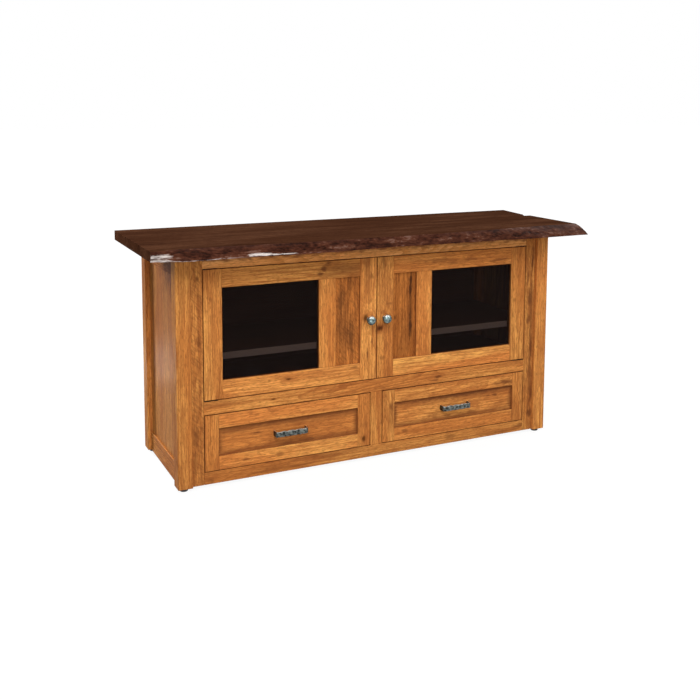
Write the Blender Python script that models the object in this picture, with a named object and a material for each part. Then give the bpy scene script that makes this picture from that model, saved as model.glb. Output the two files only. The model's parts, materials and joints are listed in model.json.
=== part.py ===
"""Live-edge television cabinet: two glazed doors over two drawers, on four adjustable feet.

Lengths are metres and +Z is up. The pieces are worked out in the case's own frame:
x = 0 on the case's centre line, y = 0 on the front faces of the posts, z = 0 on the floor.
An empty carries that frame, so that the origin ends up under the middle of the whole cabinet.
"""

import math

import bmesh
import bpy
from mathutils import Matrix, Vector

# Fits
FIT = 0.0003              # between two pieces that touch
PLAY = 0.0005             # between the members of a slide
REVEAL = 0.0025           # round a door or a drawer front
MEETING_GAP = 0.003       # between the two doors
EASE = 0.0012             # arris taken off each visible timber
FINE_EASE = 0.0006        # arris taken off inner boards and small metalwork

# Case
CASE_WIDTH = 1.400        # over the posts
CASE_DEPTH = 0.440
POST = 0.048              # square
FOOT_SHOWS = 0.011        # from the floor to the post's underside
BOTTOM_RAIL = 0.040
DRAWER_OPENING = 0.188
MIDDLE_RAIL = 0.044
DOOR_OPENING = 0.424
TOP_RAIL = 0.044
FACE_STILE = 0.041
FACE_SET_BACK = 0.011     # face frame and side frames behind the posts' faces
FRAME_THICK = 0.022
MULLION = 0.044           # between the drawers

# Joints in the timber
TENON = 0.020             # length
STUB_TENON = 0.012
TENON_THICK = 0.008
SHOULDER = 0.008          # from a rail's edge to its tenon
GROOVE = 0.007            # depth of a panel groove
TONGUE_GAP = 0.001        # of that, left empty for the panel to move
STEM_WALL = 0.0017        # wood between a side rail's tenon and a foot's stem

# Sides and back
SIDE_LOW_RAIL = 0.066
SIDE_TOP_RAIL = 0.070
SIDE_PANEL_THICK = 0.008
SIDE_PANEL_SINK = 0.006   # panel behind the side rails' faces
BACK_THICK = 0.009
CABLE_HOLE_RADIUS = 0.032
CABLE_HOLE_UP = 0.075     # hole centre over the deck

# Inner boards
BOARD = 0.018
HOUSING = 0.004           # depth of the partition's groove in the deck
BEHIND_DOOR_GAP = 0.003   # from a closed door's back to what lies behind it
SHELF_THICK = 0.022
SHELF_TOP = 0.429
SHELF_END_GAP = 0.001
SHELF_REAR_GAP = 0.016    # cables pass behind the shelf
PIN_RADIUS = 0.0025
PIN_DEPTH = 0.007
PIN_SHOWS = 0.010
PIN_INSET = 0.006         # pin centre from the shelf's front and rear edges
PIN_PITCH = 0.032
PIN_STEPS = (-1, 0, 1)    # holes below, at and above the shelf
PIN_SIDES = 8

# Doors
DOOR_OUTER_STILE = 0.061
DOOR_MEETING_STILE = 0.062
DOOR_MID_STILE = 0.061
DOOR_RAIL = 0.060
DOOR_PANEL_WIDTH = 0.090  # sight width of the small timber panel
DOOR_PANEL_THICK = 0.008
GLASS_THICK = 0.004
PANE_SINK = 0.008         # glass and small panel behind the door's face
KNOB_FROM_CENTRE = 0.030
KNOB_HEIGHT = 0.494
KNOB_RADIUS = 0.0165
KNOB_STANDS = 0.030
KNOB_FORM = ((0.55, 0.0), (0.56, 0.07), (0.39, 0.18), (0.38, 0.28), (0.64, 0.42), (0.93, 0.53), (1.0, 0.63),
             (0.95, 0.73), (0.76, 0.87), (0.42, 0.97), (0.0, 1.0))   # shares of its radius and its height

# Pivot hinges
PIVOT_INSET = 0.005       # pin centre from the door's outer edge and from its face
PIVOT_RADIUS = 0.003
PIVOT_REACH = 0.010       # pin into the door
COLLAR_RADIUS = 0.0042
LEAF_LENGTH = 0.045
LEAF_WIDTH = 0.012
LEAF_THICK = 0.0025
LEAF_END_RIM = 0.0008     # of a leaf, beyond its collar
LEAF_FRONT_RIM = 0.0003

# Catch
CATCH_LENGTH = 0.070      # one block serves both doors
CATCH_DEPTH = 0.014
CATCH_HANGS = 0.014       # below the top rail
CATCH_UP = 0.016          # up the back of the top rail

# Drawers
DRAWER_FRAME = 0.046      # stiles and rails of a drawer front
DRAWER_PANEL_THICK = 0.010
DRAWER_PANEL_SINK = 0.008
BOX_SIDE = 0.012
BOX_SIDE_GAP = 0.003      # from the opening's sides to the box
BOX_FLOOR_GAP = 0.007     # from the case's bottom board to the box's lower edge
BOX_HEAD_GAP = 0.041      # from the box's upper edge to the middle rail
BOX_REAR_GAP = 0.0307     # from the box to the back panel
BOX_BOTTOM_THICK = 0.006
BOX_KEPT_IN = 0.026       # of the box, left inside when the drawer is open

# Pulls
PULL_LENGTH = 0.117
PULL_HEIGHT = 0.019
PULL_THICK = 0.006
PULL_STANDS = 0.026       # from the drawer panel to the grip's face
PULL_CORNER = 0.007
PULL_FLAT = 0.6           # of its height and its thickness, left flat between the bevels
PULL_WAVE = 0.0012        # rise and fall of the grip's upper edge
UNDER_WAVE = 0.4          # of that, on its lower edge
WAVE_TURN = 2.1           # of the wave, from ring to ring, in radians
PULL_STEPS = 10           # rings along the grip
PULL_BEND_STEPS = 4       # and round each bend

# Screws that hold knobs and pulls
SCREW_RADIUS = 0.002
SCREW_HEAD_RADIUS = 0.0045
SCREW_HEAD = 0.0025

# Slides, one lying flat under the middle of each drawer
SLIDE_THICK = 0.0127
SLIDE_WIDTH = 0.045
SLIDE_SHEET = 0.0012
SLIDE_FRONT_GAP = 0.002   # behind the box's front board
SLIDE_REAR_GAP = 0.002    # short of the box's rear face
SLIDE_SIDE_GAP = 0.0025   # to the notch in the back of the box
SLIDE_WEB_STEP = 0.0030   # from the case member's web to the middle member's
SLIDE_LIP_GAP = 0.001     # from the lips of a member to the next one's web

# Feet
FOOT_RADIUS = 0.0135
FOOT_PAD = 0.008
FOOT_EDGE = 0.0015
FOOT_NECK_RADIUS = 0.007
STEM_RADIUS = 0.004
STEM_REACH = 0.028        # up into the post

# Live-edge top
TOP_THICK = 0.032
LEFT_OVERHANG_BACK = 0.085
LEFT_OVERHANG_FRONT = 0.089
RIGHT_OVERHANG_BACK = 0.119
RIGHT_OVERHANG_NOTCH = 0.092
RIGHT_OVERHANG_FRONT = 0.104
NOTCH_FROM_FRONT = 0.257  # where the two glued boards meet
NOTCH_SLANT = 0.003
REAR_OVERHANG = 0.024
LIVE_STATIONS = 72
LIVE_HEIGHTS = (0.0, 0.2, 0.45, 0.7, 0.88, 1.0)
LIVE_SLOPE = 0.8          # below 1 the face falls away fast under the brow
LIVE_BULGE = 0.005
LIVE_RIPPLE = 0.0016
RIPPLE_LENGTHS = (0.173, 0.067)
RIPPLE_SHARES = (1.0, 0.6)
RIPPLE_LEAN = 2.4         # of the ripple, from brow to lip, in radians
# How far the flat top and the lower lip stand in front of the posts, along the case's width
BROW = ((-0.79, 0.066), (-0.71, 0.045), (-0.60, 0.043), (-0.39, 0.052), (-0.23, 0.063), (-0.10, 0.060),
        (0.06, 0.060), (0.23, 0.055), (0.40, 0.047), (0.54, 0.033), (0.68, 0.027), (0.81, 0.024))
LIP = ((-0.79, 0.050), (-0.72, 0.076), (-0.65, 0.092), (-0.56, 0.083), (-0.42, 0.091), (-0.25, 0.094),
       (-0.15, 0.092), (-0.05, 0.081), (0.07, 0.078), (0.26, 0.085), (0.46, 0.087), (0.58, 0.103),
       (0.65, 0.096), (0.81, 0.085))

ROUND = 24                # sides of a visible round piece
SMALL_ROUND = 12
SHARP_ANGLE = 35          # degrees between faces that still look smooth

FINISHES = {              # colour, metallic, roughness, alpha
    "walnut": ((0.090, 0.036, 0.018), 0.0, 0.30, 1.0),
    "case wood": ((0.520, 0.230, 0.070), 0.0, 0.38, 1.0),
    "panel wood": ((0.440, 0.180, 0.055), 0.0, 0.38, 1.0),
    "inner wood": ((0.110, 0.048, 0.022), 0.0, 0.50, 1.0),
    "drawer wood": ((0.680, 0.480, 0.280), 0.0, 0.50, 1.0),
    "smoked glass": ((0.012, 0.008, 0.008), 0.0, 0.05, 0.85),
    "pewter": ((0.180, 0.190, 0.210), 1.0, 0.35, 1.0),
    "dark iron": ((0.050, 0.050, 0.055), 1.0, 0.45, 1.0),
    "zinc": ((0.500, 0.510, 0.530), 1.0, 0.35, 1.0),
    "dark steel": ((0.030, 0.028, 0.026), 1.0, 0.45, 1.0),
    "black": ((0.010, 0.010, 0.011), 0.0, 0.50, 1.0),
}

# Places that several pieces share
OVERCUT = 0.001           # a cutter past the face that it enters
SAW_WASTE = 0.020         # slab beyond its sawn ends, cut off
BITE = 0.005              # a joined-on piece into the body that it grows from
HALF = CASE_WIDTH / 2
POST_INNER = HALF - POST
OPENING = POST_INNER - FACE_STILE            # half the door opening's width
FACE_FRONT = FACE_SET_BACK
FACE_BACK = FACE_SET_BACK + FRAME_THICK
BACK_REAR = CASE_DEPTH - FACE_SET_BACK
BACK_FRONT = BACK_REAR - BACK_THICK
BACK_FOOT = FOOT_SHOWS + 2 * SHOULDER
PANEL_TONGUE = GROOVE - TONGUE_GAP
SIDE_TENON = POST / 2 - STEM_RADIUS - FIT - STEM_WALL
CASE_FOOT = FOOT_SHOWS
DRAWER_LOW = CASE_FOOT + BOTTOM_RAIL
DRAWER_HIGH = DRAWER_LOW + DRAWER_OPENING
DOOR_LOW = DRAWER_HIGH + MIDDLE_RAIL
DOOR_HIGH = DOOR_LOW + DOOR_OPENING
TOP_UNDERSIDE = DOOR_HIGH + TOP_RAIL
CASE_TOP = TOP_UNDERSIDE - FIT
SIDE_RAIL_OUTER = HALF - FACE_SET_BACK
SIDE_RAIL_INNER = SIDE_RAIL_OUTER - FRAME_THICK
SIDE_PANEL_OUTER = SIDE_RAIL_OUTER - SIDE_PANEL_SINK
SIDE_PANEL_INNER = SIDE_PANEL_OUTER - SIDE_PANEL_THICK
SIDE_LOW_TOP = CASE_FOOT + SIDE_LOW_RAIL
SIDE_TOP_LOW = TOP_UNDERSIDE - SIDE_TOP_RAIL
TENON_FRONT = FACE_FRONT + (FRAME_THICK - TENON_THICK) / 2
TENON_BACK = TENON_FRONT + TENON_THICK
BOARD_FRONT = FACE_BACK + FIT
BOARD_BACK = BACK_FRONT - FIT
BEHIND_DOORS = FACE_BACK + BEHIND_DOOR_GAP
SHELF_FRONT = BEHIND_DOORS + FIT
SHELF_BACK = BACK_FRONT - SHELF_REAR_GAP
PIN_ROWS = (SHELF_FRONT + PIN_INSET, SHELF_BACK - PIN_INSET)
PIN_LEVEL = SHELF_TOP - SHELF_THICK - FIT - PIN_RADIUS
DRAWER_MIDDLE = (DRAWER_LOW + DRAWER_HIGH) / 2
DRAWER_CENTRE_X = (MULLION / 2 + OPENING) / 2
BOX_LOW = DRAWER_LOW + BOX_FLOOR_GAP
BOX_HIGH = DRAWER_HIGH - BOX_HEAD_GAP
BOX_FRONT = FACE_BACK + FIT
BOX_REAR = BACK_FRONT - BOX_REAR_GAP
DRAWER_TRAVEL = BOX_REAR - BOX_FRONT - BOX_KEPT_IN
SLIDE_TOP = DRAWER_LOW + FIT + SLIDE_THICK
SLIDE_LIP = SLIDE_THICK - SLIDE_WEB_STEP - SLIDE_SHEET - SLIDE_LIP_GAP
PIVOT_X = OPENING - REVEAL - PIVOT_INSET
PIVOT_Y = FACE_FRONT + PIVOT_INSET
FOOT_CENTRE_X = HALF - POST / 2


def sided(side, near, far):
    """The x span between two distances from the centre line, on the left (-1) or the right (1)."""
    return tuple(sorted((side * near, side * far)))


def middle(centre, size):
    return (centre - size / 2, centre + size / 2)


def grown(span, by=FIT):
    return (span[0] - by, span[1] + by)


def between(one, other):
    return (min(one, other), max(one, other))


# Solids

def box(x, y, z, ease=0.0):
    """A closed box mesh between the given spans, with its arrises taken off by ease."""
    shape = bmesh.new()
    bmesh.ops.create_cube(shape, size=1.0)
    for corner in shape.verts:
        corner.co = Vector([span[0] if part < 0 else span[1] for span, part in zip((x, y, z), corner.co)])
    if ease:
        bmesh.ops.bevel(shape, geom=shape.edges[:], offset=ease, segments=1, affect="EDGES")
    return to_mesh(shape)


def to_mesh(shape):
    bmesh.ops.recalc_face_normals(shape, faces=shape.faces[:])
    mesh = bpy.data.meshes.new("solid")
    shape.to_mesh(mesh)
    shape.free()
    return mesh


def rings_to_mesh(rings):
    """A closed mesh through rings of equally many points; a ring of one point closes an end to a tip."""
    shape = bmesh.new()
    loops = [[shape.verts.new(point) for point in ring] for ring in rings]
    for low, high in zip(loops, loops[1:]):
        count = max(len(low), len(high))
        for step in range(count):
            corners = [low[step % len(low)], low[(step + 1) % len(low)],
                       high[(step + 1) % len(high)], high[step % len(high)]]
            shape.faces.new(list(dict.fromkeys(corners)))
    for end in (loops[0], loops[-1]):
        if len(end) > 2:
            shape.faces.new(end)
    return to_mesh(shape)


def turned(profile, centre, along, sides=ROUND):
    """A turned solid: (radius, distance) pairs along the axis "x", "y" or "z" from the centre."""
    rings = []
    for radius, distance in profile:
        ring = []
        for step in range(sides if radius > 0 else 1):
            angle = math.tau * (step + 0.5) / sides
            across, up = radius * math.cos(angle), radius * math.sin(angle)
            offsets = {"x": (distance, across, up), "y": (across, distance, up), "z": (across, up, distance)}
            ring.append(Vector(centre) + Vector(offsets[along]))
        rings.append(ring)
    return rings_to_mesh(rings)


def rod(radius, centre, along, start, end, sides=SMALL_ROUND):
    return turned([(radius, start), (radius, end)], centre, along, sides)


def prism(outline, z):
    """A solid over a flat outline of (x, y) points."""
    return rings_to_mesh([[Vector((x, y, level)) for x, y in outline] for level in z])


def shaped(body, tool, operation):
    """The body mesh with the tool mesh joined on (UNION) or cut away (DIFFERENCE)."""
    body_object = bpy.data.objects.new("body", body)
    tool_object = bpy.data.objects.new("tool", tool)
    for item in (body_object, tool_object):
        bpy.context.scene.collection.objects.link(item)
    step = body_object.modifiers.new("shape", "BOOLEAN")
    step.operation = operation
    step.object = tool_object
    step.solver = "EXACT"
    result = bpy.data.meshes.new_from_object(body_object.evaluated_get(bpy.context.evaluated_depsgraph_get()))
    for item in (body_object, tool_object):
        bpy.data.objects.remove(item)
    for mesh in (body, tool):
        bpy.data.meshes.remove(mesh)
    return result


def timber(x, y, z, tenons=(), cuts=(), ease=EASE):
    """A board with its tenons joined on, and its mortises, grooves and holes cut.

    Tenons and cuts are (x, y, z) spans, or meshes where they are round.
    """
    body = box(x, y, z, ease)
    for tools, operation in ((cuts, "DIFFERENCE"), (tenons, "UNION")):
        for tool in tools:
            body = shaped(body, box(*tool) if isinstance(tool, tuple) else tool, operation)
    return body


# Objects

def finish(node, name):
    colour, metallic, roughness, alpha = FINISHES[name]
    material = bpy.data.materials.new(node + "_finish")
    material.use_nodes = True
    surface = material.node_tree.nodes["Principled BSDF"]
    surface.inputs["Base Color"].default_value = (*colour, 1.0)
    surface.inputs["Metallic"].default_value = metallic
    surface.inputs["Roughness"].default_value = roughness
    surface.inputs["Alpha"].default_value = alpha
    material.diffuse_color = (*colour, alpha)
    return material


def carrier(name, place, parent=None):
    """An empty that carries pieces; its place is given in the case's frame."""
    empty = bpy.data.objects.new(name, None)
    bpy.context.scene.collection.objects.link(empty)
    empty["place"] = place
    empty.location = place
    if parent:
        empty.parent = parent
    return empty


def node(name, finish_name, mesh, parent, smooth=False):
    """One named object from a solid made in the case's frame, hung on its carrier."""
    mesh.name = name
    mesh.transform(Matrix.Translation(-Vector(parent["place"])))
    mesh.materials.clear()
    mesh.materials.append(finish(name, finish_name))
    if smooth:
        mesh.shade_smooth()
        mesh.set_sharp_from_angle(angle=math.radians(SHARP_ANGLE))
    piece = bpy.data.objects.new(name, mesh)
    bpy.context.scene.collection.objects.link(piece)
    piece.parent = parent
    return piece


# Live-edge top

def curve_through(points, x):
    """The value at x on a smooth curve through (x, value) points."""
    index = max(1, min(len(points) - 2, sum(1 for place, _ in points if place <= x)))
    index = min(index, len(points) - 1)
    (x0, v0), (x1, v1) = points[index - 1], points[index]
    before = points[max(index - 2, 0)]
    after = points[min(index + 1, len(points) - 1)]
    slope0 = (v1 - before[1]) / (x1 - before[0])
    slope1 = (after[1] - v0) / (after[0] - x0)
    t = min(max((x - x0) / (x1 - x0), 0.0), 1.0)
    width = x1 - x0
    return ((2 * t ** 3 - 3 * t ** 2 + 1) * v0 + (t ** 3 - 2 * t ** 2 + t) * width * slope0
            + (3 * t ** 2 - 2 * t ** 3) * v1 + (t ** 3 - t ** 2) * width * slope1)


def live_face(x):
    """The tree's own edge at x: (y, z) points from the flat top down to the lower lip."""
    brow = curve_through(BROW, x)
    lip = curve_through(LIP, x)
    points = []
    for down in LIVE_HEIGHTS:
        reach = brow + (lip - brow) * down ** LIVE_SLOPE + LIVE_BULGE * math.sin(math.pi * down)
        for length, share in zip(RIPPLE_LENGTHS, RIPPLE_SHARES):
            reach += LIVE_RIPPLE * share * math.sin(math.tau * x / length + RIPPLE_LEAN * down)
        points.append((-reach, TOP_UNDERSIDE + TOP_THICK * (1 - down)))
    return points


def live_edge_top(parent):
    """The slab: straight sawn ends, a notch where its two boards meet, and the tree's own front edge."""
    rear = CASE_DEPTH + REAR_OVERHANG
    left_end = -HALF - max(LEFT_OVERHANG_FRONT, LEFT_OVERHANG_BACK) - SAW_WASTE
    right_end = HALF + max(RIGHT_OVERHANG_FRONT, RIGHT_OVERHANG_NOTCH, RIGHT_OVERHANG_BACK) + SAW_WASTE
    rings = []
    for station in range(LIVE_STATIONS + 1):
        x = left_end + (right_end - left_end) * station / LIVE_STATIONS
        section = [(rear, TOP_UNDERSIDE), (rear, TOP_UNDERSIDE + TOP_THICK)] + live_face(x)
        rings.append([Vector((x, y, z)) for y, z in section])
    slab = rings_to_mesh(rings)
    front = -max(reach for _, reach in BROW + LIP) - SAW_WASTE
    past = rear + SAW_WASTE
    over = (TOP_UNDERSIDE - SAW_WASTE, TOP_UNDERSIDE + TOP_THICK + SAW_WASTE)
    off_left, off_right = left_end - SAW_WASTE, right_end + SAW_WASTE
    left = [(-HALF - LEFT_OVERHANG_FRONT, front), (-HALF - LEFT_OVERHANG_BACK, past),
            (off_left, past), (off_left, front)]
    right = [(HALF + RIGHT_OVERHANG_FRONT, front), (HALF + RIGHT_OVERHANG_FRONT, NOTCH_FROM_FRONT),
             (HALF + RIGHT_OVERHANG_NOTCH, NOTCH_FROM_FRONT + NOTCH_SLANT),
             (HALF + RIGHT_OVERHANG_BACK, rear), (HALF + RIGHT_OVERHANG_BACK, past),
             (off_right, past), (off_right, front)]
    for outline in (left, right):
        slab = shaped(slab, prism(outline, over), "DIFFERENCE")
    return node("live_edge_top", "walnut", slab, parent)


# Case

RAIL_LEVELS = {"low": (CASE_FOOT, SIDE_LOW_TOP), "top": (SIDE_TOP_LOW, CASE_TOP)}
FACE_RAIL_LEVELS = {"bottom": (CASE_FOOT, DRAWER_LOW), "middle": (DRAWER_HIGH, DOOR_LOW),
                    "top": (DOOR_HIGH, CASE_TOP)}


def pin_column(face, way, y):
    """Shelf-pin holes in a face, and the pin in the middle one; way is the x direction out of the face."""
    holes = []
    for step in PIN_STEPS:
        if step:
            centre = (face, y, PIN_LEVEL + step * PIN_PITCH)
            holes.append(rod(PIN_RADIUS, centre, "x", way * OVERCUT, -way * PIN_DEPTH, PIN_SIDES))
    pin = rod(PIN_RADIUS, (face, y, PIN_LEVEL), "x", -way * PIN_DEPTH, way * PIN_SHOWS, PIN_SIDES)
    return holes, pin


def side_tenon(side, levels, y):
    """The span of a side rail's tenon, which runs in the plane of the panel groove."""
    return sided(side, SIDE_PANEL_INNER, SIDE_PANEL_OUTER), y, (levels[0] + SHOULDER, levels[1] - SHOULDER)


def posts(parent):
    for side, hand in ((-1, "left"), (1, "right")):
        groove_x = grown(sided(side, SIDE_PANEL_INNER, SIDE_PANEL_OUTER))
        for rear, place in ((False, "front"), (True, "rear")):
            y = (CASE_DEPTH - POST, CASE_DEPTH) if rear else (0.0, POST)
            face = y[0] if rear else y[1]
            into = 1 if rear else -1
            cuts = [(groove_x, between(face - into * OVERCUT, face + into * GROOVE),
                     (SIDE_LOW_TOP - SHOULDER, SIDE_TOP_LOW + SHOULDER))]
            for levels in RAIL_LEVELS.values():
                deep = between(face - into * OVERCUT, face + into * (SIDE_TENON + FIT))
                span = side_tenon(side, levels, deep)
                cuts.append((grown(span[0]), span[1], grown(span[2])))
            if rear:
                cuts.append((sided(side, POST_INNER - OVERCUT, POST_INNER + GROOVE),
                             grown((BACK_FRONT, BACK_REAR)), (BACK_FOOT - FIT, TOP_UNDERSIDE + OVERCUT)))
            cuts.append(rod(STEM_RADIUS + FIT, (side * FOOT_CENTRE_X, sum(y) / 2, 0.0), "z",
                            0.0, FOOT_SHOWS + STEM_REACH + FIT))
            holes, pin = pin_column(side * POST_INNER, -side, PIN_ROWS[rear])
            body = timber(sided(side, POST_INNER, HALF), y, (CASE_FOOT, CASE_TOP), [pin], cuts + holes)
            node(f"post_{place}_{hand}", "case wood", body, parent)


def side_frames(parent):
    y = (POST + FIT, CASE_DEPTH - POST - FIT)
    for side, hand in ((-1, "left"), (1, "right")):
        groove_x = grown(sided(side, SIDE_PANEL_INNER, SIDE_PANEL_OUTER))
        for name, levels in RAIL_LEVELS.items():
            tenons = [side_tenon(side, levels, (POST - SIDE_TENON, y[0] + BITE)),
                      side_tenon(side, levels, (y[1] - BITE, CASE_DEPTH - POST + SIDE_TENON))]
            edge, into = (levels[1], -1) if name == "low" else (levels[0], 1)
            groove = (groove_x, (0.0, CASE_DEPTH), between(edge - into * OVERCUT, edge + into * GROOVE))
            body = timber(sided(side, SIDE_RAIL_INNER, SIDE_RAIL_OUTER), y, levels, tenons, [groove])
            node(f"side_rail_{name}_{hand}", "case wood", body, parent)
        panel = box(sided(side, SIDE_PANEL_INNER, SIDE_PANEL_OUTER),
                    (POST - PANEL_TONGUE, CASE_DEPTH - POST + PANEL_TONGUE),
                    (SIDE_LOW_TOP - PANEL_TONGUE, SIDE_TOP_LOW + PANEL_TONGUE))
        node(f"side_panel_{hand}", "panel wood", panel, parent)


def face_frame(parent):
    """Stiles, rails and the mullion between the drawers, with the seats for the pivot hinges."""
    y = (FACE_FRONT, FACE_BACK)
    tenon_y = (TENON_FRONT, TENON_BACK)
    for side, hand in ((-1, "left"), (1, "right")):
        cuts = [(sided(side, OPENING - OVERCUT, OPENING + TENON + FIT), grown(tenon_y),
                 grown((low + SHOULDER, high - SHOULDER))) for low, high in FACE_RAIL_LEVELS.values()]
        stile = timber(sided(side, OPENING, POST_INNER - FIT), y, (CASE_FOOT, CASE_TOP), (), cuts)
        node(f"face_stile_{hand}", "case wood", stile, parent)

    tenon_x = middle(0.0, MULLION - 2 * SHOULDER)
    for name, (low, high) in FACE_RAIL_LEVELS.items():
        tenons = [(sided(side, OPENING - BITE, OPENING + TENON), tenon_y, (low + SHOULDER, high - SHOULDER))
                  for side in (-1, 1)]
        cuts = []
        if name == "bottom":
            cuts.append((grown(tenon_x), grown(tenon_y), (high - STUB_TENON - FIT, high + OVERCUT)))
        if name == "middle":
            cuts.append((grown(tenon_x), grown(tenon_y), (low - OVERCUT, low + STUB_TENON + FIT)))
            cuts += [hinge_seat(side, high, -1) for side in (-1, 1)]
        if name == "top":
            cuts += [hinge_seat(side, low, 1) for side in (-1, 1)]
        rail = timber((-OPENING + FIT, OPENING - FIT), y, (low, high), tenons, cuts)
        node(f"face_rail_{name}", "case wood", rail, parent)

    tenon = (tenon_x, tenon_y, (DRAWER_LOW - STUB_TENON, DRAWER_HIGH + STUB_TENON))
    mullion = timber(middle(0.0, MULLION), y, (DRAWER_LOW + FIT, DRAWER_HIGH - FIT), [tenon])
    node("drawer_mullion", "case wood", mullion, parent)


def floor_board(edge, z, cuts):
    """A board across the case, notched round the four posts."""
    notches = []
    for side in (-1, 1):
        for y in ((0.0, POST + FIT), (CASE_DEPTH - POST - FIT, CASE_DEPTH)):
            notches.append((sided(side, POST_INNER - FIT, HALF), y, grown(z, OVERCUT)))
    return timber((-edge, edge), (BOARD_FRONT, BOARD_BACK), z, (), notches + cuts, FINE_EASE)


def inner_boards(parent):
    """The floor, the deck under the doors and the partition.

    Deck and partition are halved into each other: at the back the partition runs on down, and in front
    it stands in a groove in the deck.
    """
    floor = floor_board(SIDE_RAIL_INNER - FIT, (DRAWER_LOW - BOARD, DRAWER_LOW), [])
    node("bottom_board", "inner wood", floor, parent)
    halfway = (BOARD_FRONT + BOARD_BACK) / 2
    deck_z = (DOOR_LOW - BOARD, DOOR_LOW)
    slot = (grown(middle(0.0, BOARD)), (halfway - FIT, CASE_DEPTH), grown(deck_z, OVERCUT))
    groove = (grown(middle(0.0, BOARD)), (0.0, halfway), (DOOR_LOW - HOUSING, DOOR_LOW + OVERCUT))
    node("deck_board", "inner wood", floor_board(SIDE_PANEL_INNER - FIT, deck_z, [slot, groove]), parent)

    wide = middle(0.0, MULLION)
    cuts = [(wide, (0.0, BEHIND_DOORS), (DOOR_LOW, TOP_UNDERSIDE)),
            (wide, (0.0, FACE_BACK + CATCH_DEPTH + 2 * FIT), (DOOR_HIGH - CATCH_HANGS - FIT, TOP_UNDERSIDE)),
            (wide, (0.0, halfway), (deck_z[0] - FIT, DOOR_LOW - HOUSING + FIT))]
    pins = []
    for side in (-1, 1):
        for row in PIN_ROWS:
            holes, pin = pin_column(side * BOARD / 2, side, row)
            cuts += holes
            pins.append(pin)
    partition = timber(middle(0.0, BOARD), (BOARD_FRONT, BOARD_BACK), (DRAWER_LOW + FIT, CASE_TOP),
                       pins, cuts, FINE_EASE)
    node("centre_partition", "inner wood", partition, parent)


def back_panel(parent):
    edge = POST_INNER + PANEL_TONGUE
    level = DOOR_LOW + CABLE_HOLE_UP
    holes = [rod(CABLE_HOLE_RADIUS, (side * OPENING / 2, 0.0, level), "y", 0.0, CASE_DEPTH, ROUND)
             for side in (-1, 1)]
    panel = timber((-edge, edge), (BACK_FRONT, BACK_REAR), (BACK_FOOT, CASE_TOP), (), holes, 0.0)
    node("back_panel", "inner wood", panel, parent)


def shelves(parent):
    for side, hand in ((-1, "left"), (1, "right")):
        x = sided(side, BOARD / 2 + SHELF_END_GAP, POST_INNER - SHELF_END_GAP)
        board = timber(x, (SHELF_FRONT, SHELF_BACK), (SHELF_TOP - SHELF_THICK, SHELF_TOP))
        node(f"shelf_{hand}", "inner wood", board, parent)


# Pivot hinges and catch

def leaf_spans(side):
    """The x and y spans of a hinge leaf, which runs from the pin towards the cabinet's middle."""
    outer = PIVOT_X + COLLAR_RADIUS + LEAF_END_RIM
    front = PIVOT_Y - COLLAR_RADIUS - LEAF_FRONT_RIM
    return sided(side, outer - LEAF_LENGTH, outer), (front, front + LEAF_WIDTH)


def hinge_seat(side, level, way):
    """The pocket for a hinge leaf in the edge at this level; way is +1 where the wood lies above."""
    x, y = leaf_spans(side)
    return grown(x), grown(y), between(level - way * OVERCUT, level + way * (LEAF_THICK + FIT))


def hinge_plates(parent):
    """Leaves let into the middle and top rails, each with the collar that carries the door and its pin."""
    for side, hand in ((-1, "left"), (1, "right")):
        x, y = leaf_spans(side)
        centre = (side * PIVOT_X, PIVOT_Y, 0.0)
        for name, level, way in (("lower", DOOR_LOW, 1), ("upper", DOOR_HIGH, -1)):
            plate = box(x, y, between(level - way * LEAF_THICK, level))
            shoulder = level + way * (REVEAL - FIT)
            pin = [(COLLAR_RADIUS, level - way * LEAF_THICK / 2), (COLLAR_RADIUS, shoulder),
                   (PIVOT_RADIUS, shoulder), (PIVOT_RADIUS, level + way * (REVEAL + PIVOT_REACH))]
            plate = shaped(plate, turned(pin, centre, "z", SMALL_ROUND), "UNION")
            node(f"hinge_{name}_{hand}", "dark steel", plate, parent)


def door_catch(parent):
    """A double magnetic catch on the back of the top rail, behind the heads of both doors."""
    back = FACE_BACK + FIT
    relief = (middle(0.0, 2 * CATCH_LENGTH), (0.0, back + FIT), (0.0, DOOR_HIGH))
    block = timber(middle(0.0, CATCH_LENGTH), (back, back + CATCH_DEPTH),
                   (DOOR_HIGH - CATCH_HANGS, DOOR_HIGH + CATCH_UP), (), [relief], FINE_EASE)
    node("door_catch", "black", block, parent)


# Doors

def screw_profile(head_face, tip):
    """Radii along a screw that comes from behind: its tip, its shank and its head on head_face."""
    return [(SCREW_RADIUS, tip), (SCREW_RADIUS, head_face + FIT), (SCREW_HEAD_RADIUS, head_face + FIT),
            (SCREW_HEAD_RADIUS, head_face + FIT + SCREW_HEAD)]


def screw_hole(x, z, start, end):
    return rod(SCREW_RADIUS + FIT, (x, 0.0, z), "y", start - OVERCUT, end + OVERCUT)


def knob(side, hand, parent):
    """A domed knob on a waisted foot, with the screw that holds it through the stile."""
    face = FACE_FRONT - FIT
    place = (side * KNOB_FROM_CENTRE, 0.0, KNOB_HEIGHT)
    body = turned([(wide * KNOB_RADIUS, face - out * KNOB_STANDS) for wide, out in KNOB_FORM], place, "y")
    body = shaped(body, turned(screw_profile(FACE_BACK, face - BITE), place, "y", SMALL_ROUND), "UNION")
    node(f"door_{hand}_knob", "pewter", body, parent, smooth=True)


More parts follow.
